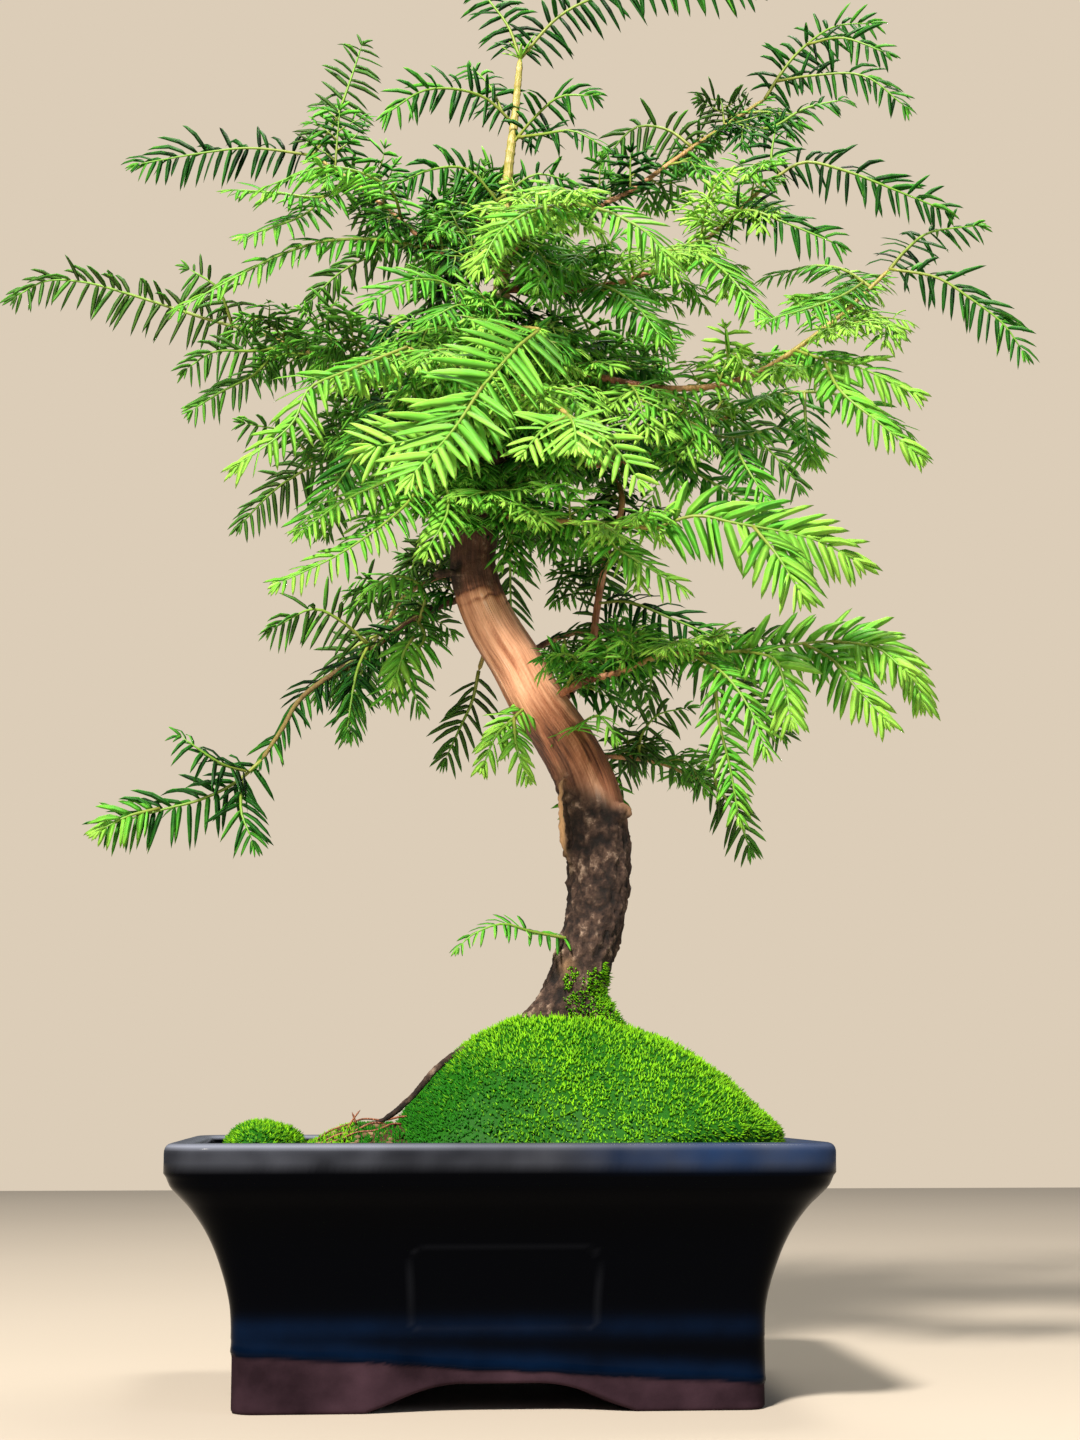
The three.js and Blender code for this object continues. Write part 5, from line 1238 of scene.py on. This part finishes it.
def needle_looks(tree):
    place = add_node(tree, "ShaderNodeTexCoord", out="Object")
    fresh_and_lit, along, rib = (
        add_node(tree, "ShaderNodeAttribute", out="Fac", attribute_name=mark) for mark in ("fresh_and_lit", "along", "rib")
    )
    cloud = add_node(tree, "ShaderNodeTexNoise", {"Vector": place, "Scale": 110, "Detail": 2})
    patchy = add_node(
        tree, "ShaderNodeMapRange", {"Value": cloud, "From Min": 0.3, "From Max": 0.7, "To Min": -0.1, "To Max": 0.1}
    )
    # The freshness mark also carries painted light: lighter where lit, darker in shade.
    youth_and_light = add_node(tree, "ShaderNodeMath", {0: along, 1: 0.1, 2: fresh_and_lit}, operation="MULTIPLY_ADD")
    age_and_light = add_node(tree, "ShaderNodeMath", {0: youth_and_light, 1: patchy}, operation="ADD")
    blade = add_node(
        tree,
        "ShaderNodeValToRGB",
        {"Fac": age_and_light},
        stops=[(0.0, "#06200a"), (1.0, "#96d24e"), (0.28, "#1e5c18"), (0.6, "#58ae32")],
    )
    keel = add_node(tree, "ShaderNodeMath", {0: rib, 1: 0.15}, operation="MULTIPLY")
    colour = add_node(tree, "ShaderNodeMix", {"Factor": keel, "A": blade, "B": "#a2cf58"}, data_type="RGBA")
    return {"Base Color": colour}


# A living needle: thin and soft, with a waxy sheen, lit through by the light behind it.
soft_needles = new_material(
    "soft_needles",
    needle_looks,
    Roughness=0.5,
    **{
        "Specular IOR Level": 0.2,
        "Subsurface Weight": 0.25,
        "Subsurface Radius": (0.6, 1, 0.15),
        "Subsurface Scale": MM,
    },
)


def stem_looks(tree):
    place = add_node(tree, "ShaderNodeTexCoord", out="Object")
    along = add_node(tree, "ShaderNodeAttribute", out="Fac", attribute_name="along")
    cloud = add_node(tree, "ShaderNodeTexNoise", {"Vector": place, "Scale": 250, "Detail": 2})
    straw = add_node(tree, "ShaderNodeMix", {"Factor": cloud, "A": "#667026", "B": "#a0a848"}, data_type="RGBA")
    colour = add_node(tree, "ShaderNodeMix", {"Factor": along, "A": straw, "B": "#6cac34"}, data_type="RGBA")
    return {"Base Color": colour}


# This season's stem: straw-yellow where it is oldest, green towards its tip.
green_stem = new_material("green_stem", stem_looks, Roughness=0.5)


def facing(path, tilt=NEEDLE_TILT):
    """The direction that a shoot's flat side turns to: up, and out from the tree."""
    middle = sum(point[1] for point in path) / len(path)
    return (0, (1 if middle > 20 else -1) * tilt, 1 - tilt)


def point_at(path, share):
    line = spline([p[:3] for p in path], 0.5)
    return tuple(line[round(share * (len(line) - 1))])


# The two sprays that face the front in the middle carry the broadest needles of the tree.
HERO_FACE = (0.1, -0.95, 0.15)
BROAD = {"spacing": 3.5, "width": 0.145, "sag": 0.12, "spread": 74, "scatter": 0.1}
FROND = {"spacing": 3.3, "width": 0.165, "sag": 0.36, "spread": 62, "scatter": 0.12}  # young flat sprays
OLD = {"spacing": 3.1, "width": 0.12, "sag": 0.55, "scatter": 0.28}  # last season's, whose needles curl
for seed, (name, (branch, at, leaf, fresh_and_lit, stem, forks)) in enumerate(SPRAYS.items()):
    foliage = Foliage(100 + seed)
    carrier = TRUNK if branch == "trunk" else BRANCHES[branch][1]
    main = [point_at(carrier, at), *stem]
    hero = name.startswith("hero")
    manner = BROAD if hero else FROND if fresh_and_lit >= 0.8 else OLD if fresh_and_lit < 0.4 else {"sag": 0.38}
    leaf *= 1.06 if hero else 1.02 if fresh_and_lit >= 0.8 else 0.9
    tilt = 0.75 if fresh_and_lit < 0.4 or fresh_and_lit >= 0.8 else NEEDLE_TILT
    fresh_and_lit = 0.02 + 0.5 * fresh_and_lit if fresh_and_lit < 0.4 else 0.1 + 0.75 * fresh_and_lit
    foliage.add_shoot(main, HERO_FACE if name == "hero_left" else facing(main, tilt), leaf, fresh_and_lit, **manner)
    for share, path in forks:
        fork = [point_at(main, share), *path]
        foliage.add_shoot(fork, facing(fork, tilt), 0.88 * leaf, fresh_and_lit, **manner)
    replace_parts(foliage.piece(f"shoots_{name}", "broad" if hero else "slender"), f"spray_{name}")


# Side twigs
#
# Between the long shoots the branches and the leader bear short twigs, alternately to either side, each with a few
# leafy shoots of its own, which fill the crown. They grow by the same rule everywhere, so they are placed by it.


def freshness_and_light(place):
    """How young the needles at a place are, with painted light: lightest at the front, the top and the outside of the
    crown, where light falls, and darkest in its shaded inside and back.
    """
    x, y, z = place
    front, outside = smoothstep(25, -60, y), smoothstep(18, 80, math.hypot(x - 2, y))
    return 0.02 + 0.5 * front + 0.28 * outside + 0.2 * smoothstep(290, 390, z) * front


# For each branch: from and to which share of it twigs stand, how far apart, and how long they are
TWIGS = {
    "upper_left": (0.1, 0.95, 7.5, (16, 30)),
    "long_left": (0.1, 0.9, 6.5, (16, 32)),
    "front_left": (0.12, 0.97, 5.5, (16, 30)),
    "low_left": (0.2, 0.97, 6, (12, 26)),
    "upper_right": (0.08, 0.95, 9, (16, 30)),
    "mid_right": (0.08, 0.95, 6, (16, 34)),
    "far_right": (0.06, 0.9, 8, (16, 32)),
    "under_right": (0.1, 0.95, 6.5, (14, 30)),
    "front_low_right": (0.15, 0.95, 7, (12, 24)),
    "front_up": (0.1, 0.97, 4.5, (12, 24)),
    "front_mid": (0.1, 0.75, 5.5, (16, 28)),
    "front_star": (0.15, 0.8, 6, (14, 26)),
    "upright": (0.35, 0.95, 9, (12, 24)),
    "low_right": (0.12, 0.95, 6, (12, 24)),
    "behind_right": (0.3, 0.95, 9, (10, 20)),
    "low_left_long": (0.1, 0.6, 17, (8, 14)),
    "back_top": (0.15, 0.95, 7, (18, 34)),
    "back_left": (0.15, 0.95, 7.5, (18, 34)),
    "back_right": (0.15, 0.95, 7.5, (18, 34)),
    "back_middle": (0.15, 0.95, 7.5, (18, 34)),
    "back_low_right": (0.4, 0.95, 11, (14, 26)),
    "back_low_left": (0.4, 0.95, 11, (14, 26)),
}
LEAFY_FROM = 0.22  # the share of a branch where its own needles start
for seed, (branch, (first, last, apart, lengths)) in enumerate(TWIGS.items()):
    foliage = Foliage(300 + seed)
    random = foliage.random
    path = BRANCHES[branch][1]
    at, along, up, across = frames_along(path, 1, (0, 0.1, 1))
    outer = [tuple(p) for p in at[int(LEAFY_FROM * len(at)) :: 4]]
    if len(outer) > 2 and not branch.startswith("low_left_long"):
        foliage.add_shoot(outer, facing(outer), 10, freshness_and_light(outer[len(outer) // 2]), spacing=3.2, stem=0)
    for number, k in enumerate(np.arange(first * len(at), last * len(at), apart).astype(int)):
        turn = random.normal(0.1, 0.6)
        outward = (-1) ** number * np.cos(turn) * across[k] + np.sin(turn) * up[k]
        aim = 0.5 * along[k] + 0.82 * outward + (0, 0, random.uniform(0, 0.35))
        aim /= np.linalg.norm(aim)
        tone = freshness_and_light(at[k] + 20 * aim) + random.normal(0, 0.17)
        if branch == "low_left_long":
            foliage.add_twig(at[k], aim, random.uniform(*lengths), 12.5, 0.1, **OLD)
        else:
            foliage.add_twig(at[k], aim, random.uniform(*lengths), 11.8, tone)
    foliage.piece(f"twigs_{branch}")

# On the trunk, twigs turn by the golden angle from each to the next, and the low ones stay on the front.
TRUNK_TWIGS = {"first": 0.57, "last": 0.82, "apart": 2.8, "front_below": 0.66, "golden": 2.4}
TWIG_LENGTHS = ([0.54, 0.66, 0.85, 0.97], [0.8, 1, 0.8, 0.4])  # shares of the trunk, and how long twigs are there
foliage = Foliage(280)
random = foliage.random
at, *_ = frames_along(TRUNK, 1, (0, 0.1, 1))
stops = np.arange(TRUNK_TWIGS["first"] * len(at), TRUNK_TWIGS["last"] * len(at), TRUNK_TWIGS["apart"]).astype(int)
for number, k in enumerate(stops):
    share = k / len(at)
    turn = TRUNK_TWIGS["golden"] * number
    outward = np.array([math.cos(turn), math.sin(turn), 0])
    if share < TRUNK_TWIGS["front_below"]:
        outward[1] = -abs(outward[1]) - 0.5
    aim = outward + (0, 0, random.uniform(-0.1, 0.4))
    aim /= np.linalg.norm(aim)
    length = random.uniform(26, 46) * float(np.interp(share, *TWIG_LENGTHS))
    tone = freshness_and_light(at[k] + 25 * aim) + random.normal(0, 0.17)
    foliage.add_twig(at[k] + 0.5 * outward, aim, length, 12, tone)
foliage.piece("twigs_trunk")

# The long low branch on the left carries sparse, long, hanging needles itself.
foliage = Foliage(499)
line = spline([p[:3] for p in BRANCHES["low_left_long"][1]], 2)
outer = [tuple(p) for p in line[int(0.28 * len(line)) :]]
foliage.add_shoot(outer, (0, -0.75, 0.4), 14, 0.12, stem=1.25, **OLD)
# Two young shoots on it: one at its tip, and one half way, that hangs.
for young in ([(-112, 17, 190), (-122, 14, 187), (-131, 12, 182)], [(-27, 0, 247), (-30, -7, 241), (-33, -10, 231)]):
    foliage.add_shoot(young, facing(young, 0.75), 12, 0.72, **FROND)
foliage.piece("shoot_low_left_long_outer", "slender")

# The leader ends in a star of newly opened leaves.
foliage = Foliage(500)
top = np.array(TRUNK[-1][:3], float)
turns = circle(8)
aims = np.column_stack([np.cos(turns), np.sin(turns), foliage.random.uniform(0.5, 1.6, 8)])
foliage.add_needles(
    np.tile(top, (8, 1)), aims, np.tile((0.1, -0.3, 1.0), (8, 1)), foliage.random.uniform(6, 11, 8), 0.12, 0.25, 0.75
)
foliage.stems.append(([tuple(top - (0, 0, 3)), tuple(top + (0.3, 0, 2))], 1.2, ASLANT, 0.6))
foliage.piece("leader_bud", "slender")
